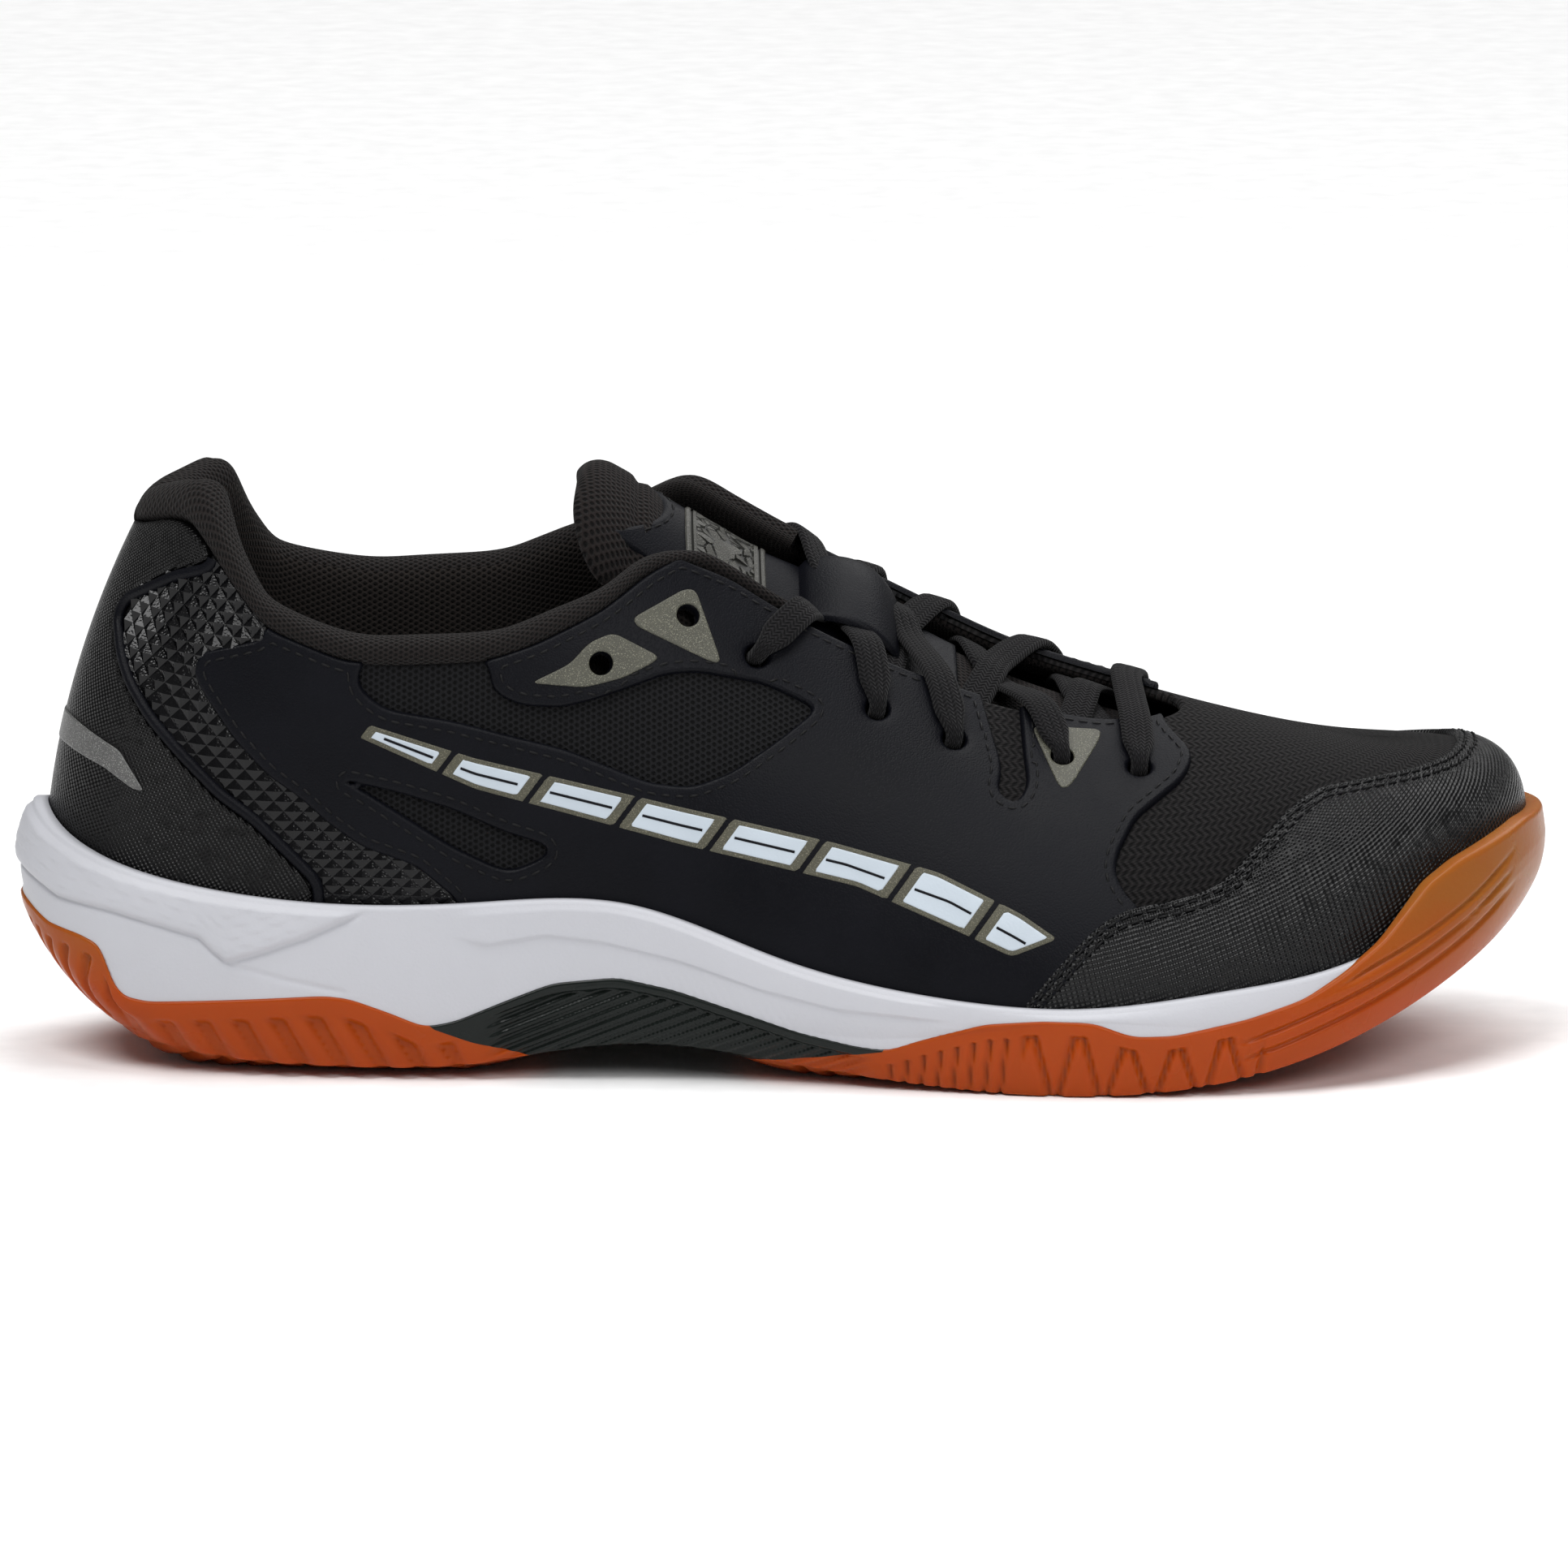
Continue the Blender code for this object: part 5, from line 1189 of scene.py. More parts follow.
# the collar's roll: how far each point is above the topline, and how far out of the last
ROLL = [(-2.0, -0.8), (-0.6, 0.5), (0.2, 1.9), (1.1, 2.9), (2.5, 3.2), (4.0, 2.4), (5.1, 0.6),
        (5.6, -1.6), (5.2, -3.8), (3.8, -5.6), (1.4, -6.6), (-2.0, -7.0), (-6.0, -7.1),
        (-10.0, -7.0)]
ROLL_END = -ROLL[-1][0]
ROLL_FACE = 1.2  # the roll grows thinner towards the throat from this height inwards
COLLAR_STEP = 1.1
LINING_ROWS, LINING_FOOT_T, LINING_OUT, LINING_FROM_ROW = 36, 0.012, -0.5, 27


def build_collar():
    """Loft the collar's roll along the topline, and the lining down from it to the insole."""
    path = catmull(np.vstack([collar_path("lateral"), collar_path("medial")[::-1][1:]]), 14)
    step = travelled(on_last(path[:, 0], path[:, 1]))
    at = np.linspace(0, step[-1], int(step[-1] / COLLAR_STEP))
    q, t = (smoothed(np.interp(at, step, path[:, i])) for i in (0, 1))
    x = on_last(q, t)[:, 0]
    rib = rib_mm(q)
    heel = smoothstep(-x, 100, 116)
    front = np.clip((x + 44) / 24, 0, 1)
    size = 1.0 + 0.65 * heel - 0.3 * front
    deep = 1.0 - 0.62 * front
    profile = catmull(np.array(ROLL), 3)
    travel = travelled(profile)
    rows, uvs = [], []
    for (rise, out), v in zip(profile, travel):
        if out < ROLL_FACE:
            depth = ROLL_FACE + (out - ROLL_FACE) * deep
        else:
            depth = out + 0.7 * heel * (rise > 0)
        lift = rise * (size if rise > 0 else 1.0)
        rows.append(on_last(q, np.clip(t + lift / rib, 0, 1), depth))
        uvs.append(np.stack([at, np.full(len(at), v)], 1))
    end_t = t - ROLL_END / rib
    for share in np.linspace(0, 1, LINING_ROWS)[1:]:
        row_t = end_t * (1 - share) + LINING_FOOT_T * share
        height = read_last(q, row_t)[0][:, 2]
        depth = -3.3 - 3.7 * smoothstep(height, 46, 78)
        depth = np.minimum(ROLL_FACE + (depth - ROLL_FACE) * deep, LINING_OUT)
        rows.append(on_last(q, row_t, depth))
        uvs.append(np.stack([at, travel[-1] + share * end_t * rib], 1))
    faces = flipped(grid_faces(len(rows), len(at)))
    lining = faces[:, 0] // len(at) >= LINING_FROM_ROW
    thing = make_mesh("collar", np.concatenate(rows), faces, np.concatenate(uvs), parts=lining)
    finish_piece(thing, [COLLAR_KNIT, LINING_KNIT], ("collar_padding", "collar_lining"))


# the facing's section: how far out of the throat's edge each point is, and its height
FACING = ((1.8, 1.2), (0.3, 1.45), (-0.3, 1.2), (-0.55, 0.5), (-0.4, -0.3), (0.6, -0.8),
          (5.0, -1.0))
FACING_REAR_X, FACING_GAP = -4, 5


def build_throat_edge():
    """Fold a knit facing over the throat's raw edges, from the collar round the front."""
    outline = soften(THROAT, 3.0, 4)
    closed = np.vstack([outline, outline[:1]])
    line = resample(np.hstack([closed, closed]), 1.0)[0][:, :2]
    line = line[line[:, 0] > FACING_REAR_X]
    # start the line at the gap that the cut has left in it
    steps = np.linalg.norm(np.diff(line, axis=0), axis=1)
    start = int(np.argmax(steps))
    if steps[start] > FACING_GAP:
        line = np.roll(line, -(start + 1), 0)
    along = unit(np.gradient(line, axis=0))
    beside = np.column_stack([along[:, 1], -along[:, 0]])
    if ((line - line.mean(0)) * beside).sum() < 0:
        beside = -beside
    rows, uvs = [], []
    for outward, height in FACING:
        at = line + beside * outward
        rows.append(over(at[:, 0], at[:, 1], height)[0])
        uvs.append(np.column_stack([np.arange(len(line)), np.full(len(line), 3.0 - outward)]))
    thing = make_mesh("throat_facing", np.concatenate(rows),
                      flipped(grid_faces(len(rows), len(line))), np.concatenate(uvs))
    finish_piece(thing, COLLAR_KNIT)


# ---------------------------------------------------------------------------------------------
# Tongue
# ---------------------------------------------------------------------------------------------
TONGUE_END, TONGUE_COUNT = -36.5, 34
# the tongue's sides in plan: x, y of the lateral side, y of the medial
TONGUE_SIDES = np.array([
    (-36.5, -20.5, 22.5), (-29, -20.5, 22.5), (-24, -18.5, 20.5), (-20, -15.5, 17),
    (0, -15, 16.5), (30, -18, 19), (60, -17.5, 18.5), (78, -15, 16), (86, -6, 10)])
CREASE_X, CREASE_DEPTH, CREASE_WIDTH = -26.2, 0.9, 1.1
COVER_TOP, COVER_SEAM_X = 0.95, -19.2


def pad_out(x):
    """Height of the tongue's face: low under the lacing, high behind it."""
    return -4.5 - 1.2 * smoothstep(-x, -7, 7)


def bend_at_fold(thing):
    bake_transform(thing)


def tongue_faces():
    """Return the tongue's upper and lower points, each as rows of x, y in plan and height."""
    xs = np.concatenate([TONGUE_END + (-22 - TONGUE_END) * np.linspace(0, 1, 30) ** 1.8,
                         np.linspace(-21.2, 86, 96)])
    lateral, medial = (np.interp(xs, TONGUE_SIDES[:, 0], TONGUE_SIDES[:, i]) for i in (1, 2))
    narrow = 0.5 + 0.5 * rim_profile(xs - TONGUE_END, 8.0)
    w = np.sin(np.linspace(-1, 1, TONGUE_COUNT) * math.pi / 2)
    edge = np.sqrt(np.maximum(1 - np.abs(w) ** 3.2, 0))
    top, low = [], []
    for x, middle_y_here, half, narrow_here in zip(xs, (lateral + medial) / 2,
                                                   (medial - lateral) / 2 * narrow, narrow):
        roll = 1.0 - smoothstep(x, -26, -19)
        tip = float(rim_profile(x - TONGUE_END + 0.02, 4.8))
        crease = CREASE_DEPTH * math.exp(-((x - CREASE_X) / CREASE_WIDTH) ** 2)
        thick = 4.0 + 5.0 * roll
        middle = pad_out(x) + 1.6 * roll - thick / 2
        back = x + (0.6 - 4.4 * (w * narrow_here) ** 2) * smoothstep(-x, 20, 30)
        y = middle_y_here + half * w
        top.append((back, y, middle + (thick / 2 - crease) * edge * tip))
        low.append((back, y, middle - thick / 2 * edge * tip))
    return np.array(top), np.array(low)


def build_tongue():
    top, low = tongue_faces()
    points = np.concatenate([over(*face.transpose(1, 0, 2))[0].reshape(-1, 3)
                             for face in (top, low)])
    uv = np.tile(np.stack([top[:, 0].ravel(), top[:, 1].ravel()], 1), (2, 1))
    n = top.shape[0] * TONGUE_COUNT
    index = np.arange(n).reshape(-1, TONGUE_COUNT)
    face = grid_faces(*index.shape)
    faces = [face, face[:, ::-1] + n]
    for line, flip in ((index[:, 0], False), (index[:, -1], True), (index[0], True),
                       (index[-1], False)):
        e, f = line[:-1], line[1:]
        side = np.stack([f, e, e + n, f + n], 1)
        faces.append(side[:, ::-1] if flip else side)
    thing = make_mesh("tongue", points, np.concatenate(faces), uv)
    finish_piece(thing, TONGUE_KNIT, ("tongue_upper_pad", "tongue_lower_pad"), body=None)
    bend_at_fold(thing)

    cover = tongue_strip("tongue_cover", np.linspace(-21.0, 36, 84), (-14.2, 16.0), -0.1, COVER_TOP,
                         cross=40, flared=True)
    finish_piece(cover, OVERLAY, ("tongue_upper_cover", "tongue_lower_cover"), body=None)
    bend_at_fold(cover)
    y = np.linspace(-10.2, 12.2, 40)
    edge = np.hstack(over(COVER_SEAM_X + flare(COVER_SEAM_X, y), y,
                          pad_out(COVER_SEAM_X) + COVER_TOP))
    seam = make_mesh("tongue_cover_seam", *stitches_on([edge], 0.0))
    finish_piece(seam, THREAD, body=TONGUE_BODY)
    build_label()
    build_keeper()


def tongue_strip(name, xs, sides, low, high, lift=None, cross=26, flared=False):
    """Lay a thin strip over the tongue, its edges rolled down."""
    w = np.linspace(-1, 1, cross)
    w = np.sign(w) * (1 - (1 - np.abs(w)) ** 1.35)
    half = (sides[1] - sides[0]) / 2
    y = (sides[0] + sides[1]) / 2 + half * w
    rows = []
    for i, x in enumerate(xs):
        end = min(i, len(xs) - 1 - i) * abs(xs[1] - xs[0])
        rise = rim_profile(np.minimum((1 - np.abs(w)) * half, end), 0.8)
        out = pad_out(x) + low + (high - low) * rise + (lift(x) if lift else 0.0)
        rows.append(over(x + (flare(x, y) if flared else 0.0), y, out)[0])
    uv = np.stack(np.meshgrid(xs, np.linspace(*sides, cross), indexing="ij"), -1).reshape(-1, 2)
    return make_mesh(name, np.concatenate(rows), grid_faces(len(xs), cross), uv)


def flare(x, y):
    """Return how far the cover's rear edge sweeps back towards the tongue's sides."""
    return -8.5 * (np.abs(np.asarray(y) - 1.0) / 13.0) ** 2 * smoothstep(-x, 4, 20)


FACETS, CRACK_WIDTH = 130, 0.24
KEEPER_FROM, KEEPER_TO, KEEPER_RISE = 4.5, 24.0, 5.6


def build_label():
    """Make a plain label with a crackled middle between two grooves, and no lettering."""
    xs = np.linspace(-17.0, -1.6, 110)
    ys = np.linspace(-12.2, 11.6, 182)
    rng = np.random.default_rng(7)
    seeds = np.stack([rng.uniform(-18, -1, FACETS), rng.uniform(-14, 16, FACETS)], 1)
    tilt = rng.uniform(-1, 1, (FACETS, 2))
    grid_x, grid_y = np.meshgrid(xs, ys, indexing="ij")
    flat = np.stack([grid_x.ravel(), grid_y.ravel()], 1)
    away = np.sqrt(((flat[:, None, :] - seeds[None]) ** 2).sum(2))
    nearest = away.argmin(1)
    closest = np.sort(away, 1)[:, :2]
    crack = (closest[:, 1] - closest[:, 0]).reshape(grid_x.shape) < CRACK_WIDTH
    facet = ((flat - seeds[nearest]) * tilt[nearest]).sum(1).reshape(grid_x.shape)
    border = np.minimum.reduce([grid_x - xs[0], xs[-1] - grid_x, grid_y - ys[0], ys[-1] - grid_y])
    inner = (grid_x > -15.0) & (grid_x < -4.0) & (border > 1.0)
    height = np.where(inner, 0.25 + 0.3 * np.clip(facet, -0.9, 0.9), 0.5)
    lines = (np.abs(grid_x + 2.9) < 0.22) | (np.abs(grid_x + 15.9) < 0.22)
    height = np.where(lines, 0.05, np.where(crack & inner, 0.0, height))
    # the grooves and cracks take the darker material, as painted shade
    dark = lines | (crack & inner)
    height = height * rim_profile(border, 0.6)
    points, _ = over(grid_x, grid_y, pad_out(grid_x) + 1.0 + height)
    faces = grid_faces(*grid_x.shape)
    thing = make_mesh("tongue_badge", points.reshape(-1, 3), faces, flat, smooth=False,
                      parts=dark.ravel()[faces[:, 0]])
    finish_piece(thing, [LABEL, LABEL_GROOVE_SHADE], ("tongue_label",), body=TONGUE_BODY)


def build_keeper():
    """The strap of the tongue's cover that the top lace runs pass under."""
    def arch(x):
        share = (x - KEEPER_FROM) / (KEEPER_TO - KEEPER_FROM)
        return KEEPER_RISE * math.sin(math.pi * min(1.0, max(0.0, share))) ** 0.7
    thing = tongue_strip("lace_keeper", np.linspace(KEEPER_FROM, KEEPER_TO, 40), (-8.6, 10.4), 0.6,
                         1.7, arch)
    finish_piece(thing, OVERLAY, ("tongue_keeper",))


# ---------------------------------------------------------------------------------------------
# Lace
# ---------------------------------------------------------------------------------------------
LACE_WIDTH, LACE_THICK, LACE_SIDES = 6.4, 1.7, 16
LACE_OVER, LACE_UNDER = 4.1, -1.7
LACE_LOW, LACE_HIGH, LACE_BAR = -3.3, -0.9, 3.0
KEEPER_STATION = 7.42
USED_EYELETS = 5
TAIL = ((-4.5, 76), (0, 67), (12, 57), (24, 50), (34, 47))
TAIL_DEPTH = 2.7
STEEP_LACE = 0.55
UP_THROUGH = [(0, -1.2), (0, 2.6), (0.045, LACE_OVER), (0.22, LACE_OVER)]
UNDER_TO_HOLE = [(0.76, LACE_UNDER), (0.95, LACE_UNDER)]


def eyelet_place(number, side):
    """Return an eyelet's station and reach."""
    q, t = EYELET_PLACES[side][number]
    return (AROUND - q, 1 - t) if side == "medial" else (q, t - 1)


def mirrored(heights):
    """Turn a run's heights end for end."""
    return [(1 - fraction, height) for fraction, height in reversed(heights)]


def run_between(start, end, heights, middle_station=None):
    """Return a run of lace between eyelets, bowed to pass a station halfway if asked."""
    made = []
    for fraction, height in heights:
        station = start[0] + (end[0] - start[0]) * fraction
        if middle_station:
            bow = 1 - abs(2 * fraction - 1)
            station += (middle_station - (start[0] + end[0]) / 2) * bow
        point, normal = across(station, start[1] + (end[1] - start[1]) * fraction, height)
        made.append(np.concatenate([point, normal]))
    return made


def over_and_under(level):
    return UP_THROUGH + [(0.45, level), (0.57, level)] + UNDER_TO_HOLE


def over_and_over(level):
    rising = UP_THROUGH + [(0.38, level)]
    return rising + mirrored(rising)


def under_and_under(level):
    return mirrored(UNDER_TO_HOLE) + [(0.44, level), (0.56, level)] + UNDER_TO_HOLE


def lace_route():
    """Return the lace's middle line, from one tucked end to the other, with its normals."""
    lateral, medial = ([eyelet_place(n, side) for n in range(USED_EYELETS)] for side in SIDES)
    bar = UP_THROUGH + [(0.4, LACE_BAR)]
    bar = bar + mirrored(bar)
    tails = {}
    for side in SIDES:
        ends = [read_last(*find_side(x, z, side == "medial")) for x, z in TAIL]
        tails[side] = [np.concatenate([point - TAIL_DEPTH * normal, normal])
                       for point, normal in ends]
    route = list(reversed(tails["lateral"]))
    route += run_between(lateral[4], medial[3], over_and_over(LACE_LOW), KEEPER_STATION)
    route += reversed(run_between(lateral[2], medial[3], over_and_under(LACE_HIGH)))
    route += reversed(run_between(medial[1], lateral[2], over_and_under(LACE_HIGH)))
    route += reversed(run_between(lateral[0], medial[1], under_and_under(LACE_LOW)))
    route += run_between(lateral[0], medial[0], bar)
    route += run_between(medial[0], lateral[1], under_and_under(LACE_HIGH))
    route += run_between(lateral[1], medial[2], over_and_under(LACE_LOW))
    route += run_between(medial[2], lateral[3], over_and_under(LACE_LOW))
    route += run_between(lateral[3], medial[4], over_and_over(LACE_HIGH), KEEPER_STATION)
    route += tails["medial"]
    return np.array(route)


def build_lace():
    """Sweep the flat braid along its route, gathered where it goes through an eyelet."""
    fine, total = resample(catmull(lace_route(), 10), 1.0)
    holes = np.array([on_last(*EYELET_PLACES[side][n], 1.5)
                      for side in SIDES for n in range(USED_EYELETS)])
    along = unit(np.gradient(fine[:, :3], axis=0))
    beside = np.cross(along, unit(fine[:, 3:]))
    length = np.linalg.norm(beside, axis=1)
    # where the lace runs steeply the last's normal can't turn it, so it keeps its own direction
    for i in range(len(fine)):
        if length[i] < STEEP_LACE and i:
            beside[i] = beside[i - 1] - along[i] * (beside[i - 1] @ along[i])
        beside[i] /= max(np.linalg.norm(beside[i]), 1e-9)
        if i and beside[i] @ beside[i - 1] < 0:
            beside[i] = -beside[i]
    beside = np.stack([smoothed(beside[:, axis]) for axis in range(3)], 1)
    beside = unit(beside - along * (beside * along).sum(1)[:, None])
    up = np.cross(beside, along)
    near = np.min(np.linalg.norm(fine[:, None, :3] - holes[None], axis=2), axis=1)
    bunch = 1 - smoothstep(near, 1.5, 7.0)
    width = LACE_WIDTH * (1 - 0.5 * bunch)
    thick = LACE_THICK * (1 + 0.55 * bunch)
    angle = np.arange(LACE_SIDES) * 2 * math.pi / LACE_SIDES
    shape_w = np.sign(np.cos(angle)) * np.abs(np.cos(angle)) ** 0.45 / 2
    shape_t = np.sign(np.sin(angle)) * np.abs(np.sin(angle)) ** 0.75 / 2
    points = (fine[:, None, :3] + beside[:, None] * (width[:, None] * shape_w)[..., None]
              + up[:, None] * (thick[:, None] * shape_t)[..., None])
    run = np.arange(len(fine)) * total / (len(fine) - 1)
    uv = np.stack([np.repeat(run, LACE_SIDES),
                   np.tile(shape_w * LACE_WIDTH + LACE_WIDTH / 2, len(fine))], 1)
    faces = flipped(tube_faces(len(fine), LACE_SIDES))
    finish_piece(make_mesh("lace", points.reshape(-1, 3), faces, uv), LACE, ("shoelace",))


# ---------------------------------------------------------------------------------------------
# Sole
# ---------------------------------------------------------------------------------------------
# each row has a value for each station from the heel to the toe: heights, or distances out of the
# feather line
RIM_Z_LATERAL = (50, 46.5, 41.5, 37.5, 35, 35.5, 35.5, 25.5, 19, 17.5, 20.5, 24.5, 33, 40.5, 43)
RIM_Z_MEDIAL = (50, 46.5, 41.5, 37.5, 36, 38, 41, 36, 27, 21, 21.5, 25, 33, 40.5, 43)
RIM_OUT = (5, 5, 5, 5, 5, 5, 5, 5, 5, 5, 5, 4.8, 4.4, 4.4, 4.4)
BULGE_OUT = (7, 6.6, 6, 5.6, 5.3, 5.1, 5, 5.2, 5.2, 5.5, 5.5, 5.0, 4.4, 4.4, 4.4)
WALL_FOOT_OUT = (7, 6.8, 6, 5.6, 5.4, 4.8, 4.6, 4.0, 4.4, 5.6, 5.6, 5.4, 4.4, 4.4, 4.4)
WALL_FOOT_Z = (33, 27.5, 17, 15.5, 17, 15.5, 20.5, 12.5, 11.5, 15.2, 14.2, 20.5, 29, 37, 40)
UNDER_OUT = (4.3, 3.6, 3.6, 3.6, 3.6, 3.0, 3.2, 1.6, 2.6, 3.2, 3.4, 3.6, 3.4, 3.6, 3.8)
UNDER_Z = (26.5, 21.5, 13.5, 11, 11, 11.5, 15.8, 9.2, 7.2, 7, 8.5, 13.5, 22.5, 29.5, 33.8)
GUM_OUT = (7, 6.8, 6, 5.6, 5.4, 4.8, 4.6, 4.0, 4.4, 5.6, 5.6, 5.8, 6.3, 6.3, 6.2)
GUM_SIDE_OUT = (5.2, 4.6, 4.7, 4.7, 4.8, 4.3, 4.3, 3.1, 4.0, 5.2, 5.3, 5.4, 5.8, 6.0, 6.2)
GUM_SIDE_Z = (26.5, 21, 13, 10, 10, 9.5, 14, 8.5, 6.5, 8, 9, 15, 27, 34.5, 39)
EDGE_OUT = (-3, -1.5, 0.5, 2, 3, 3, 2.4, 1, 2.5, 3.6, 3.8, 3.6, 3.2, 3.6, 4.2)
EDGE_Z = (15.5, 13.5, 8.5, 4.3, 2.7, 3.5, 7.5, 4.5, 1.2, 0.3, 2.6, 9, 18, 26.5, 32)
SPINE_X = (-124, -122, -117, -106, -86, -60, -30, 0, 30, 58, 82, 100, 112, 118, 121)
INNER_RING = -9.0
SOLE_COLUMNS = 1000
SOLE_Q = np.arange(SOLE_COLUMNS) * AROUND / SOLE_COLUMNS


def by_station(values, medial_values=None):
    """Spread a row of values by station over the sole's columns."""
    medial_values = medial_values or values
    loop = loop_cubic(np.array(list(values) + list(medial_values[-2:0:-1]), float)[:, None])
    return loop(SOLE_Q)[:, 0]


def feather():
    """Return the feather line in plan and its outward normals."""
    points = section(SOLE_Q)[:, :2]
    along = section(SOLE_Q + 0.02)[:, :2] - section(SOLE_Q - 0.02)[:, :2]
    return points, unit(np.stack([along[:, 1], -along[:, 0]], 1))


FEATHER, FEATHER_OUT = feather()
FEATHER_Z = floor_z(FEATHER[:, 0])
PERIMETER = travelled(FEATHER)
OUTWARD = np.column_stack([FEATHER_OUT, np.zeros(SOLE_COLUMNS)])


def ring(out, z):
    """Return a ring of points at a distance out of the feather line."""
    plan = FEATHER + FEATHER_OUT * (np.zeros(SOLE_COLUMNS) + out)[:, None]
    height = z(plan[:, 0]) if callable(z) else z
    return np.column_stack([plan, np.zeros(SOLE_COLUMNS) + height])


def rib_ring(out, z):
    """Return a ring of points at a height on the last, moved out along its normals."""
    points = []
    rows = np.arange(0, 110) / TABLE_T
    for column, q in enumerate(SOLE_Q):
        rib = on_last(np.full(len(rows), q), rows, np.full(len(rows), out))
        points.append([np.interp(z[column], rib[:, 2], rib[:, axis]) for axis in range(3)])
    return np.array(points)


def spine(z):
    """Return a flattened ring along the sole's middle."""
    spread = np.interp(np.minimum(SOLE_Q, AROUND - SOLE_Q), np.arange(TOE + 1), SPINE_X)
    mirror = (-np.arange(SOLE_COLUMNS)) % SOLE_COLUMNS
    y = (FEATHER[:, 1] + FEATHER[mirror, 1]) / 2
    return np.column_stack([spread, y, z(spread)])


def loft(rings, rows_between):
    """Return the points, faces and uv of a grid through the rings, and how many rows it has."""
    rows = []
    for first, second, count in zip(rings, rings[1:], rows_between):
        rows += [first + (second - first) * k / count for k in range(count)]
    rows.append(rings[-1])
    points = np.array(rows)
    n = len(rows)
    uv = np.stack([np.tile(PERIMETER, n),
                   np.repeat(travelled(points[:, SOLE_COLUMNS // 4]), SOLE_COLUMNS)], 1)
    return points.reshape(-1, 3), tube_faces(n, SOLE_COLUMNS), uv, n


def line_distance(x, z, line):
    """Return the distance to an open line."""
    best = np.full(x.shape, 1e9)
    line = np.array(line, float)
    for a, b in zip(line[:-1], line[1:]):
        along = b - a
        share = np.clip(((x - a[0]) * along[0] + (z - a[1]) * along[1]) / (along @ along), 0, 1)
        gap = np.hypot(x - a[0] - share * along[0], z - a[1] - share * along[1])
        best = np.minimum(best, gap)
    return best


HEEL_LEDGE = [(-152, 38.5), (-149.4, 37.6), (-142.2, 33.9), (-131.6, 32.5), (-121, 30),
              (-114, 28.2), (-111.2, 25.4), (-108.7, 23.4), (-103.4, 24.9), (-92.8, 28.6),
              (-82.2, 33.6), (-76, 37)]
HEEL_CREASE = [(-107.6, 22.8), (-98, 20.2), (-86, 17.8)]
ARCH_LEDGE = [(-66, 29.2), (-57.8, 27.4), (-46.4, 29.4), (-35.2, 28.2), (-20, 24.7), (-4.8, 19.7),
              (10.3, 16.2), (21.7, 15.4), (33.1, 14.4)]


def wall_relief(points, medial_lift):
    """Return how far the midsole's wall stands out: ledges, creases, scales and fine ribs."""
    x = points[:, 0]
    z = points[:, 2] - medial_lift
    ledge_z = np.interp(x, *np.array(HEEL_LEDGE).T)
    heel = smoothstep(-x, 74, 82)
    above = smoothstep(z - ledge_z, -0.5, 0.5)
    relief = 0.95 * above * heel
    relief -= 0.5 * heel * np.exp(-(line_distance(x, z, HEEL_LEDGE) / 0.7) ** 2)
    relief -= 0.3 * np.exp(-(line_distance(x, z, HEEL_CREASE) / 0.6) ** 2)
    # overlapping scales in the panel above the heel ledge
    row = (z - ledge_z) / 2.2
    shift = np.where(np.floor(row) % 2 == 0, 0.0, 0.5)
    cell = ((x * 0.5 + z * 0.15) / 2.4 + shift) % 1.0 - 0.5
    scale = np.clip(1 - np.sqrt((cell * 1.8) ** 2 + ((row % 1.0) - 0.1) ** 2), 0, 1)
    inside = smoothstep(z - ledge_z, 1.0, 2.2) * smoothstep(-x, 84, 96)
    relief += 0.22 * scale * inside
    arch_z = np.interp(x, *np.array(ARCH_LEDGE).T)
    arch = smoothstep(x, -66, -58) * (1 - smoothstep(x, 24, 33))
    relief += 0.55 * smoothstep(z - arch_z, -0.4, 0.4) * arch
    ribs = 0.5 + 0.5 * np.sin(2 * math.pi * (x * 0.9 + z * 0.5) / 1.6)
    below = smoothstep(arch_z - z, 0.6, 1.4)
    relief += 0.13 * ribs * below * smoothstep(x, -50, -40) * (1 - smoothstep(x, 60, 66))
    return relief


def wall_profile():
    """Tabulate the sole's side, column by column: how far out it stands at each height.

    The first half of each column follows the foam's wall from the rim down, and the second half
    goes on down the gum's side to the edge of the tread.
    """
    rim_z, foot_z = by_station(RIM_Z_LATERAL, RIM_Z_MEDIAL), by_station(WALL_FOOT_Z)
    edge_z = np.maximum(by_station(EDGE_Z), 0.25)
    rim, bulge, foot = by_station(RIM_OUT), by_station(BULGE_OUT), by_station(WALL_FOOT_OUT)
    side, side_z, edge = by_station(GUM_SIDE_OUT), by_station(GUM_SIDE_Z), by_station(EDGE_OUT)
    proud = by_station(GUM_OUT) - foot
    heights, outs = [rim_z + 9], [rim - 1.4]
    for share in np.linspace(0, 1, 40):
        a = (1 - share / 0.35) * (1 - share)
        b = share * (1 - share) / (0.35 * 0.65)
        c = share * (share - 0.35) / 0.65
        heights.append(rim_z - 0.9 + (foot_z - rim_z + 0.9) * share)
        outs.append(a * rim + b * bulge + c * foot)
    for share in np.linspace(0, 1, 41)[1:]:
        a = (1 - share) * (1 - 2 * share)
        b = 4 * share * (1 - share)
        c = share * (2 * share - 1)
        heights.append(a * foot_z + b * side_z + c * edge_z)
        outs.append(a * foot + b * (side - proud) + c * edge)
    return np.array(heights), np.array(outs), proud


WALL = wall_profile()


def wall_out(z):
    """Return the wall's distance out at one height per column."""
    heights, outs, _ = WALL
    # np.interp needs heights that always fall
    heights = np.minimum.accumulate(heights - np.arange(len(heights))[:, None] * 1e-4, axis=0)
    return np.array([np.interp(-z[i], -heights[:, i], outs[:, i]) for i in range(SOLE_COLUMNS)])


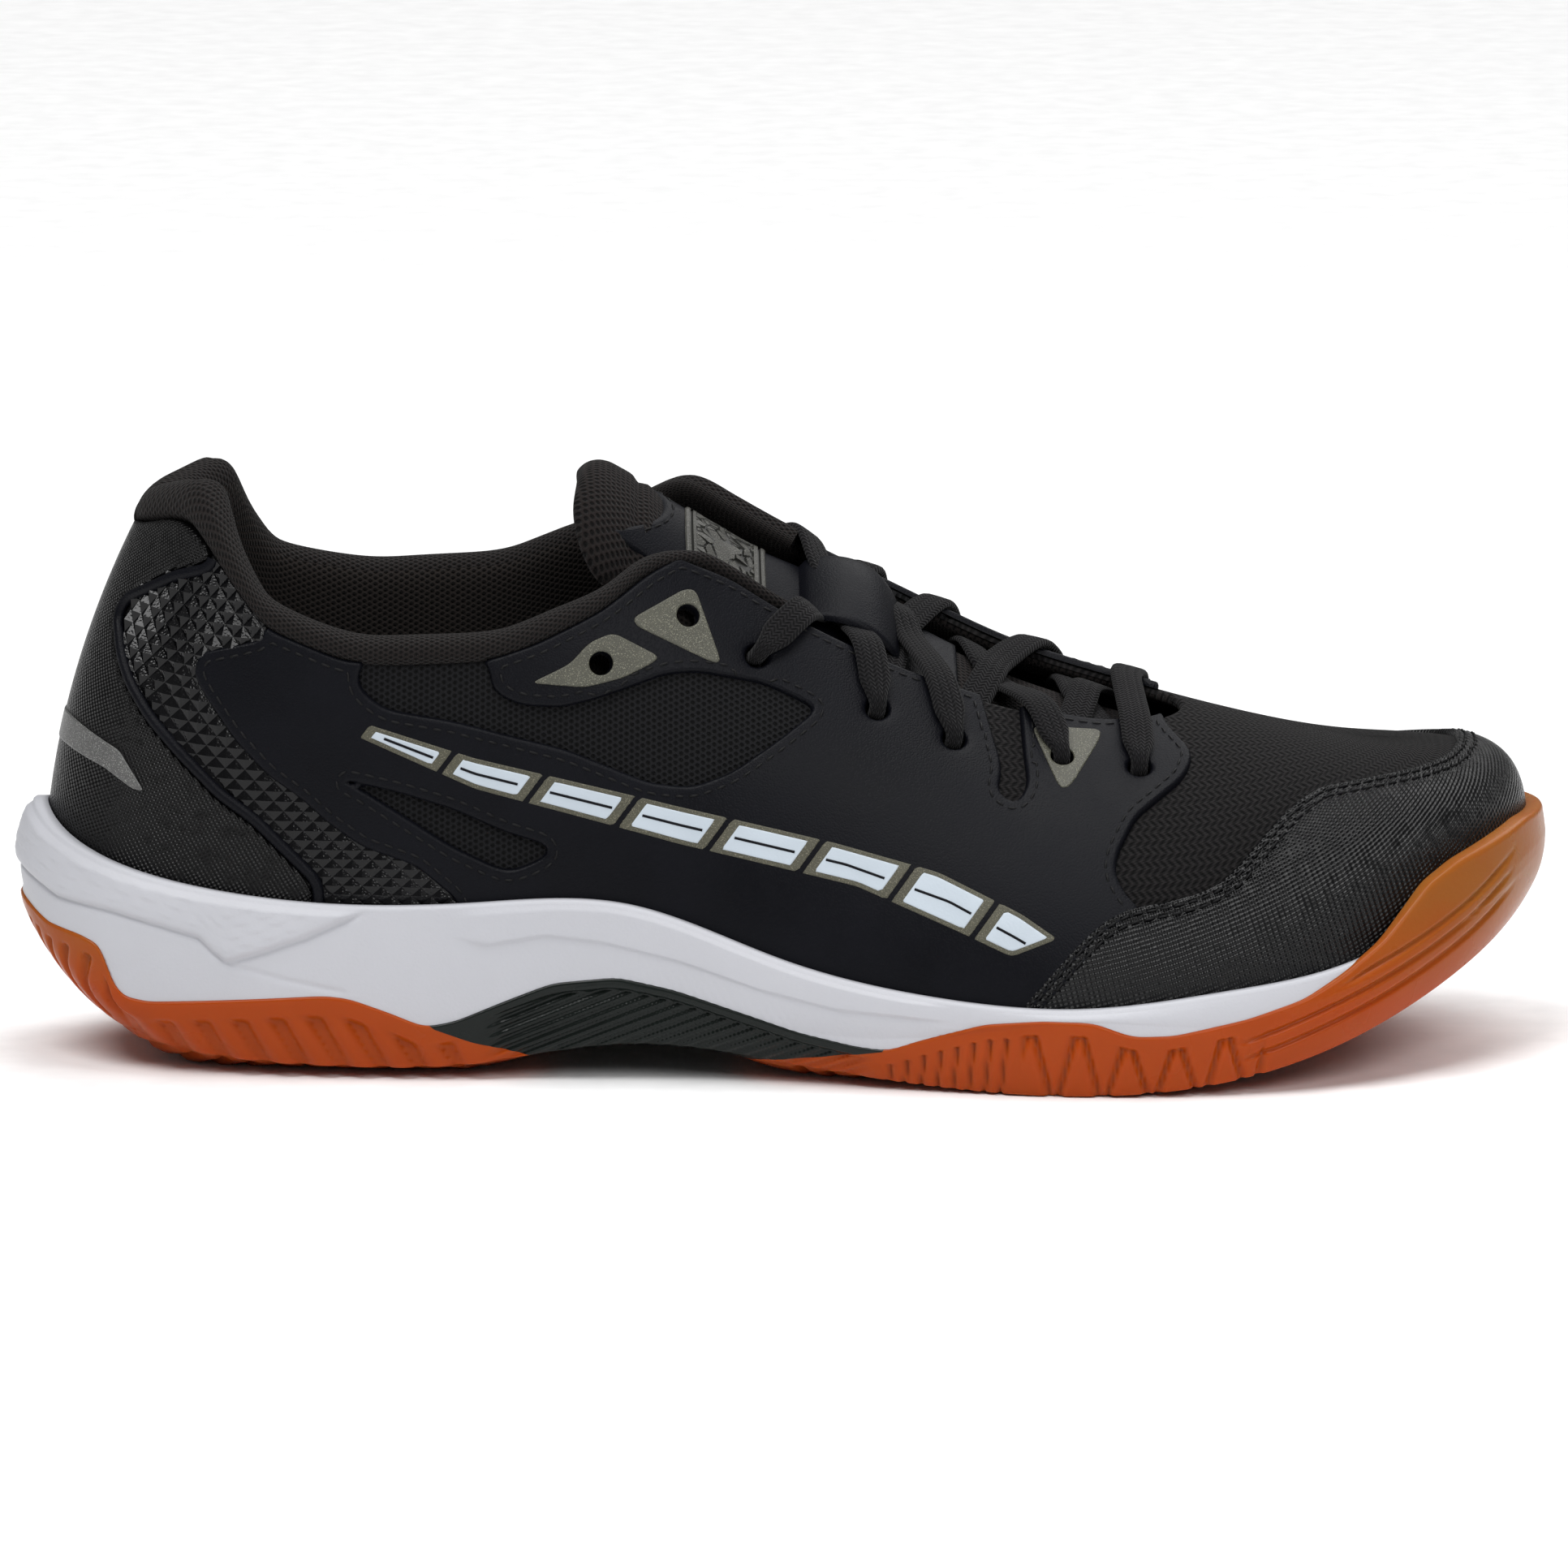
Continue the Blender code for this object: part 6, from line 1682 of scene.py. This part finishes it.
GUM_LINE = [(-153, 33.5), (-149, 32.2), (-143, 28.3), (-137, 27.0), (-133.6, 25.6),
            (-132.4, 24.1), (-131.6, 20.2), (-130.4, 17.4), (-128.5, 15.6), (-124, 14.9),
            (-105, 16.1), (-89.5, 17.1), (-84.7, 16.6), (-76.8, 13.8), (-70, 11.0), (-64, 12.2),
            (-54.6, 16.2), (-45, 20), (-32.5, 21.3), (-21.4, 19), (-10.3, 15.4), (2.4, 11.3),
            (13.5, 8.9), (19.8, 8.3), (26, 10.6), (38.8, 14.4), (50, 15.4), (60, 15.2),
            (63.4, 13.9), (67.3, 12.5), (75.2, 12.6), (89.5, 15.4), (100.6, 18.7), (108.5, 23),
            (116.4, 28.6), (126, 39), (132, 42.5), (138.5, 44.8), (145.7, 47.3), (152, 47.5)]


def gum_top():
    """Return the gum's top edge, column by column."""
    x = FEATHER[:, 0] + FEATHER_OUT[:, 0] * 5.5
    return smoothed(np.interp(x, *np.array(GUM_LINE).T), 11, "wrap")


LIP_INNER, SEAT, WALL_ROWS = 3.15, 2.3, 64
OUTSOLE_THICK = 4.7
LUG_SHARE = 0.72
PIVOT, PIVOT_RADIUS = (62, -2), 25.5


def build_midsole():
    rim_z = by_station(RIM_Z_LATERAL, RIM_Z_MEDIAL)
    rim_out = by_station(RIM_OUT)
    low_z = np.minimum(by_station(WALL_FOOT_Z), gum_top()) - 2.0
    wall = []
    for share in np.linspace(0, 1, WALL_ROWS):
        z = rim_z - 0.9 + (low_z - rim_z + 0.9) * share
        wall.append(ring(wall_out(z), z))
    lip = [ring(1.3, FEATHER_Z - SEAT), ring(LIP_INNER, FEATHER_Z - 0.6),
           rib_ring(LIP_INNER, rim_z - 0.6), rib_ring(LIP_INNER + 0.15, rim_z),
           ring(rim_out - 0.55, rim_z - 0.05), ring(rim_out - 0.12, rim_z - 0.4)]

    def above_ground(x):
        return base_z(x) + OUTSOLE_THICK
    under_z = np.minimum(by_station(UNDER_Z), low_z - 0.5)
    rings = lip + wall + [ring(by_station(UNDER_OUT) - 1.5, under_z),
                          ring(INNER_RING, above_ground), spine(above_ground)]
    points, faces, uv, n = loft(rings, [1] * (len(rings) - 1))
    lift = rim_z - np.interp(FEATHER[:, 0], STATIONS[:, 0], RIM_Z_LATERAL)
    lift = np.where(SOLE_Q > TOE, lift, 0.0)
    relief = wall_relief(points, np.tile(lift, n))
    weight = np.zeros(n)
    weight[len(lip):len(lip) + WALL_ROWS] = np.clip(np.arange(WALL_ROWS) / 4.0, 0, 1)
    relief = relief * np.repeat(weight, SOLE_COLUMNS)
    # the foam steps in behind the gum
    behind = smoothstep(np.tile(gum_top(), n) - points[:, 2], 0.5, 1.4)
    relief -= 2.4 * behind * np.repeat(weight > 0, SOLE_COLUMNS)
    points = points + np.tile(OUTWARD, (n, 1)) * relief[:, None]
    middle = spine(lambda x: floor_z(x) - SEAT)
    base = len(points)
    points = np.concatenate([points, middle])
    index = np.arange(SOLE_COLUMNS)
    cap = np.stack([base + index, index, np.roll(index, -1), base + np.roll(index, -1)], 1)
    uv = np.concatenate([uv, middle[:, :2]])
    thing = make_mesh("midsole_foam", points, np.concatenate([faces, cap]), uv)
    finish_piece(thing, MIDSOLE, ("midsole",))


def slots_relief(points, depth):
    """Return how far the outsole's side is cut in, from the place and the depth below its top."""
    x, y, z = points.T
    back = smoothstep(-x, 131, 133)
    heel = smoothstep(-x, 60, 64) * (1 - back)
    # leaning scalloped lugs at the heel
    lug = ((x + 0.55 * z) / 7.6) % 1.0
    scallop = np.maximum(np.sin(math.pi * np.minimum(lug / LUG_SHARE, 1)), 0) ** 0.6
    low = smoothstep(depth, 3.4, 5.0)
    relief = -1.5 * (1 - scallop) * heel * low
    # curved upright grooves round the back
    stripes = 0.5 + 0.5 * np.cos(2 * math.pi * (y + 0.25 * z) / 4.2)
    relief -= 1.4 * stripes ** 4 * back * smoothstep(depth, 2.5, 4.0)
    # the shank's slanting ribs below a smooth ledge
    shank = smoothstep(x, -60, -54) * (1 - smoothstep(x, 12, 18))
    rib = 0.5 + 0.5 * np.cos(2 * math.pi * (x * 0.42 - z) / 2.1)
    relief -= (0.9 + 0.6 * rib) * shank * smoothstep(depth, 1.6, 2.4)
    # upright slits, then leaning wedges, under the forefoot
    fine = smoothstep(x, 17, 20) * (1 - smoothstep(x, 43, 45))
    slit = np.exp(-((((x - 0.1 * z) / 3.1) % 1.0 - 0.5) / 0.13) ** 2)
    relief -= 1.7 * slit * fine * smoothstep(depth, 2.8, 3.6)
    wide = smoothstep(x, 45, 47) * (1 - smoothstep(x, 92, 94))
    zig = np.abs(((x / 9.5) % 1.0) - 0.5) * 2
    rise = np.clip(z / np.maximum(z + depth - 2.4, 1.0), 0, 1.0)
    wedge = np.exp(-((zig - 0.15 - 0.7 * rise) / 0.13) ** 2)
    relief -= 1.7 * wedge * wide * smoothstep(depth, 2.4, 3.2)
    # long level lines running up round the toe
    toe = smoothstep(x, 86, 94) * (1 - smoothstep(x, 139, 144))
    height = z - base_z(x)
    for level in (6.2, 9.6, 13.0):
        line = np.exp(-((height - level - (x - 90) * 0.10) / 0.5) ** 2)
        relief -= 0.8 * line * toe * smoothstep(depth, 1.5, 3.0)
    return relief


def tread_relief(points):
    """Return how far the tread's grooves rise into the outsole's underside."""
    x, y, _ = points.T
    herring = np.abs(((y + 60) / 11.0) % 2.0 - 1.0) * 5.5
    rows = ((x + herring) / 5.6) % 1.0
    groove = np.exp(-((rows - 0.5) / 0.17) ** 2)
    pivot = np.hypot(x - PIVOT[0], y - PIVOT[1])
    circles = np.exp(-(((pivot / 5.0) % 1.0 - 0.5) / 0.18) ** 2)
    in_pivot = 1 - smoothstep(pivot, PIVOT_RADIUS - 1.5, PIVOT_RADIUS - 0.5)
    relief = 1.4 * (groove * (1 - in_pivot) + circles * in_pivot)
    rim = np.exp(-((pivot - PIVOT_RADIUS) / 0.9) ** 2)
    return np.maximum(relief, 1.5 * rim)


# where the arch plate meets the gum behind it and in front of it: heights, and x at each
HEEL_JOIN = ([0, 4, 6, 8, 10.5, 12], [-34, -46, -53, -61, -68, -70])
FORE_JOIN = ([0, 4, 6, 8, 12, 20], [-20, -8, 6, 19, 22, 24])


def build_outsole():
    top = gum_top()
    edge_z = np.maximum(by_station(EDGE_Z), 0.25)
    edge_out = by_station(EDGE_OUT)
    proud = WALL[2] + 0.45
    bumper = smoothstep(np.minimum(SOLE_Q, AROUND - SOLE_Q), 10.7, 11.9)
    top_out = wall_out(top) + proud
    bumper = bumper[:, None]
    lip = rib_ring(3.0, top - 0.2) * bumper + ring(top_out - 1.3, top - 0.1) * (1 - bumper)
    rings = [lip, ring(top_out - 0.75, top + 0.05), ring(top_out - 0.25, top - 0.1),
             ring(top_out - 0.03, top - 0.45)]
    first_side = len(rings)
    sides = []
    for share in np.linspace(0, 1, 52)[1:]:
        z = top - 0.45 + (edge_z - top + 0.45) * share
        sides.append(ring(wall_out(z) + proud * (1 - share ** 4), z))
    edge = ring(edge_out, edge_z)
    inner = ring(INNER_RING, base_z)
    under = [edge + (inner - edge) * share for share in np.linspace(0, 1, 14)[1:]]
    middle = spine(base_z)
    under += [inner + (middle - inner) * share for share in np.linspace(0, 1, 30)[1:]]
    rings += sides + under
    points, faces, uv, n = loft(rings, [1] * (len(rings) - 1))
    first_under = first_side + len(sides)
    weight = np.zeros(n)
    weight[first_side:first_under] = np.clip((np.arange(len(sides)) - 2) / 4.0, 0, 1)
    weight[first_under:first_under + 5] = np.linspace(1, 0, 5)
    depth = np.tile(top, n) - points[:, 2]
    relief = slots_relief(points, depth) * np.repeat(weight, SOLE_COLUMNS)
    points = points + np.tile(OUTWARD, (n, 1)) * relief[:, None]
    tread = np.zeros(n)
    tread[first_under:] = np.clip((np.arange(n - first_under) - 1) / 3.0, 0, 1)
    shank = smoothstep(points[:, 0], -62, -58) * (1 - smoothstep(points[:, 0], 0, 4))
    points[:, 2] += tread_relief(points) * np.repeat(tread, SOLE_COLUMNS) * (1 - shank)
    sheet = {"point": points, "uv": uv, "triangles": halved(faces)}
    x, z = points[:, 0], points[:, 2]
    heel_line, fore_line = (x - np.interp(z, *join) for join in (HEEL_JOIN, FORE_JOIN))
    areas = {"heel_gum": (-heel_line, "heel_outsole"),
             "forefoot_gum": (fore_line, "forefoot_outsole"),
             "shank": (np.minimum(heel_line, -fore_line), "midfoot_shank")}
    for name, (field, node) in areas.items():
        part = split({**sheet, "field": field}, "field", 0.0, keep_above=True)
        thing = make_mesh(name, part["point"], part["triangles"], part["uv"])
        finish_piece(thing, SHANK if name == "shank" else GUM, (node,))


INSOLE_HEEL_ROOM = 4.2


def build_insole():
    def above_board(rise):
        return lambda x: floor_z(x) + rise
    cup = ring(-4.5, lambda x: floor_z(x) + 5.6 + 2.2 * smoothstep(-x, 40, 110))
    rings = [spine(above_board(4.3)), ring(-16, above_board(4.3)), ring(-7.5, above_board(4.6)),
             cup, ring(-4.3, above_board(1.0)), ring(-13, above_board(0.6)),
             spine(above_board(0.6))]
    points, faces, _, _ = loft(rings, [18, 8, 5, 4, 2, 2])
    # the heel is drawn in, to stay clear of the lining when the liner lifts
    points[:, 0] += INSOLE_HEEL_ROOM * smoothstep(-points[:, 0], 105, 138)
    thing = make_mesh("insole", points, faces[:, ::-1], points[:, :2])
    finish_piece(thing, LINING_KNIT, ("sockliner",), body=LINER_BODY)


# ---------------------------------------------------------------------------------------------
# Build
# ---------------------------------------------------------------------------------------------
build_mesh_layer()
build_caps()
build_overlays()
build_heel_panels()
build_trim()
build_collar()
build_throat_edge()
build_tongue()
build_lace()
build_midsole()
build_outsole()
build_insole()

for node, material in (("toe_puff", STIFF), ("heel_counter", STIFF), ("strobel_board", BOARD),
                       ("heel_gel_pad", GEL), ("lateral_aglet", PLASTIC),
                       ("medial_aglet", PLASTIC)):
    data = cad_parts[node].data
    data.materials.clear()
    data.materials.append(material)


# ---------------------------------------------------------------------------------------------
# Camera, light and floor
# ---------------------------------------------------------------------------------------------
ELEVATION, DISTANCE, SCALE = math.radians(10), 2.4, 6.25  # the scale is in pixels per millimetre
IMAGE, SENSOR = 1932, 36.0
AIM_Z, AIM_RISE = 50, 14  # the camera looks 14 pixels above this height
FLOOR_HALF = 6.0
WORLD_LIGHT, WORLD_SEEN = 0.17, 1.0
SUNS = (("key", (-0.35, -0.45, 1.0), 1.8, 30), ("fill", (0.45, 0.7, 1.0), 1.2, 50))
AREAS = (("front", (0.5, -1.2, 0.9), 0.6, 7), ("over", (0.2, -0.1, 1.5), 0.7, 8))
AREAS_AIM = Vector((0, 0, 0.05))


def add_object(name, data):
    thing = bpy.data.objects.new(name, data)
    bpy.context.scene.collection.objects.link(thing)
    return thing


def build_camera():
    data = bpy.data.cameras.new("camera")
    data.sensor_width = SENSOR
    data.lens = SENSOR * DISTANCE / (IMAGE / SCALE * MM)
    data.clip_end = 20
    camera = add_object("camera", data)
    rise = AIM_RISE / SCALE
    target = Vector(place((0, rise * math.sin(ELEVATION), AIM_Z + rise * math.cos(ELEVATION))))
    away = Vector((0, -math.cos(ELEVATION), math.sin(ELEVATION)))
    camera.location = target + away * DISTANCE
    camera.rotation_euler = (math.pi / 2 - ELEVATION, 0, 0)
    bpy.context.scene.camera = camera


def build_world():
    """Light softly from all round, behind a white that only the camera sees."""
    world = bpy.data.worlds.new("world")
    world.use_nodes = True
    tree = world.node_tree
    mixed = tree.nodes.new("ShaderNodeMixShader")
    around, seen = tree.nodes["Background"], tree.nodes.new("ShaderNodeBackground")
    for slot, (paper, strength) in enumerate(((around, WORLD_LIGHT), (seen, WORLD_SEEN)), 1):
        paper.inputs[0].default_value = (1, 1, 1, 1)
        paper.inputs[1].default_value = strength
        tree.links.new(paper.outputs[0], mixed.inputs[slot])
    ray = tree.nodes.new("ShaderNodeLightPath")
    tree.links.new(ray.outputs["Is Camera Ray"], mixed.inputs[0])
    tree.links.new(mixed.outputs[0], tree.nodes["World Output"].inputs[0])
    bpy.context.scene.world = world


def build_stage():
    mesh = bpy.data.meshes.new("floor")
    mesh.from_pydata([(-FLOOR_HALF, -FLOOR_HALF, 0), (FLOOR_HALF, -FLOOR_HALF, 0),
                      (FLOOR_HALF, FLOOR_HALF, 0), (-FLOOR_HALF, FLOOR_HALF, 0)], [],
                     [(0, 1, 2, 3)])
    floor = add_object("floor", mesh)
    floor.data.materials.append(film("floor_paper", (0.97, 0.97, 0.97), 0.9, gloss=0.1))
    build_world()
    for name, direction, power, angle in SUNS:
        data = bpy.data.lights.new(name, "SUN")
        data.energy = power
        data.angle = math.radians(angle)
        light = add_object(name, data)
        light.rotation_euler = Vector(direction).to_track_quat("Z", "Y").to_euler()
    for name, spot, size, power in AREAS:
        data = bpy.data.lights.new(name, "AREA")
        data.energy = power
        data.size = size
        light = add_object(name, data)
        light.location = spot
        light.rotation_euler = (AREAS_AIM - Vector(spot)).to_track_quat("-Z", "Y").to_euler()
    bpy.context.scene.view_settings.view_transform = "Standard"


build_camera()
build_stage()
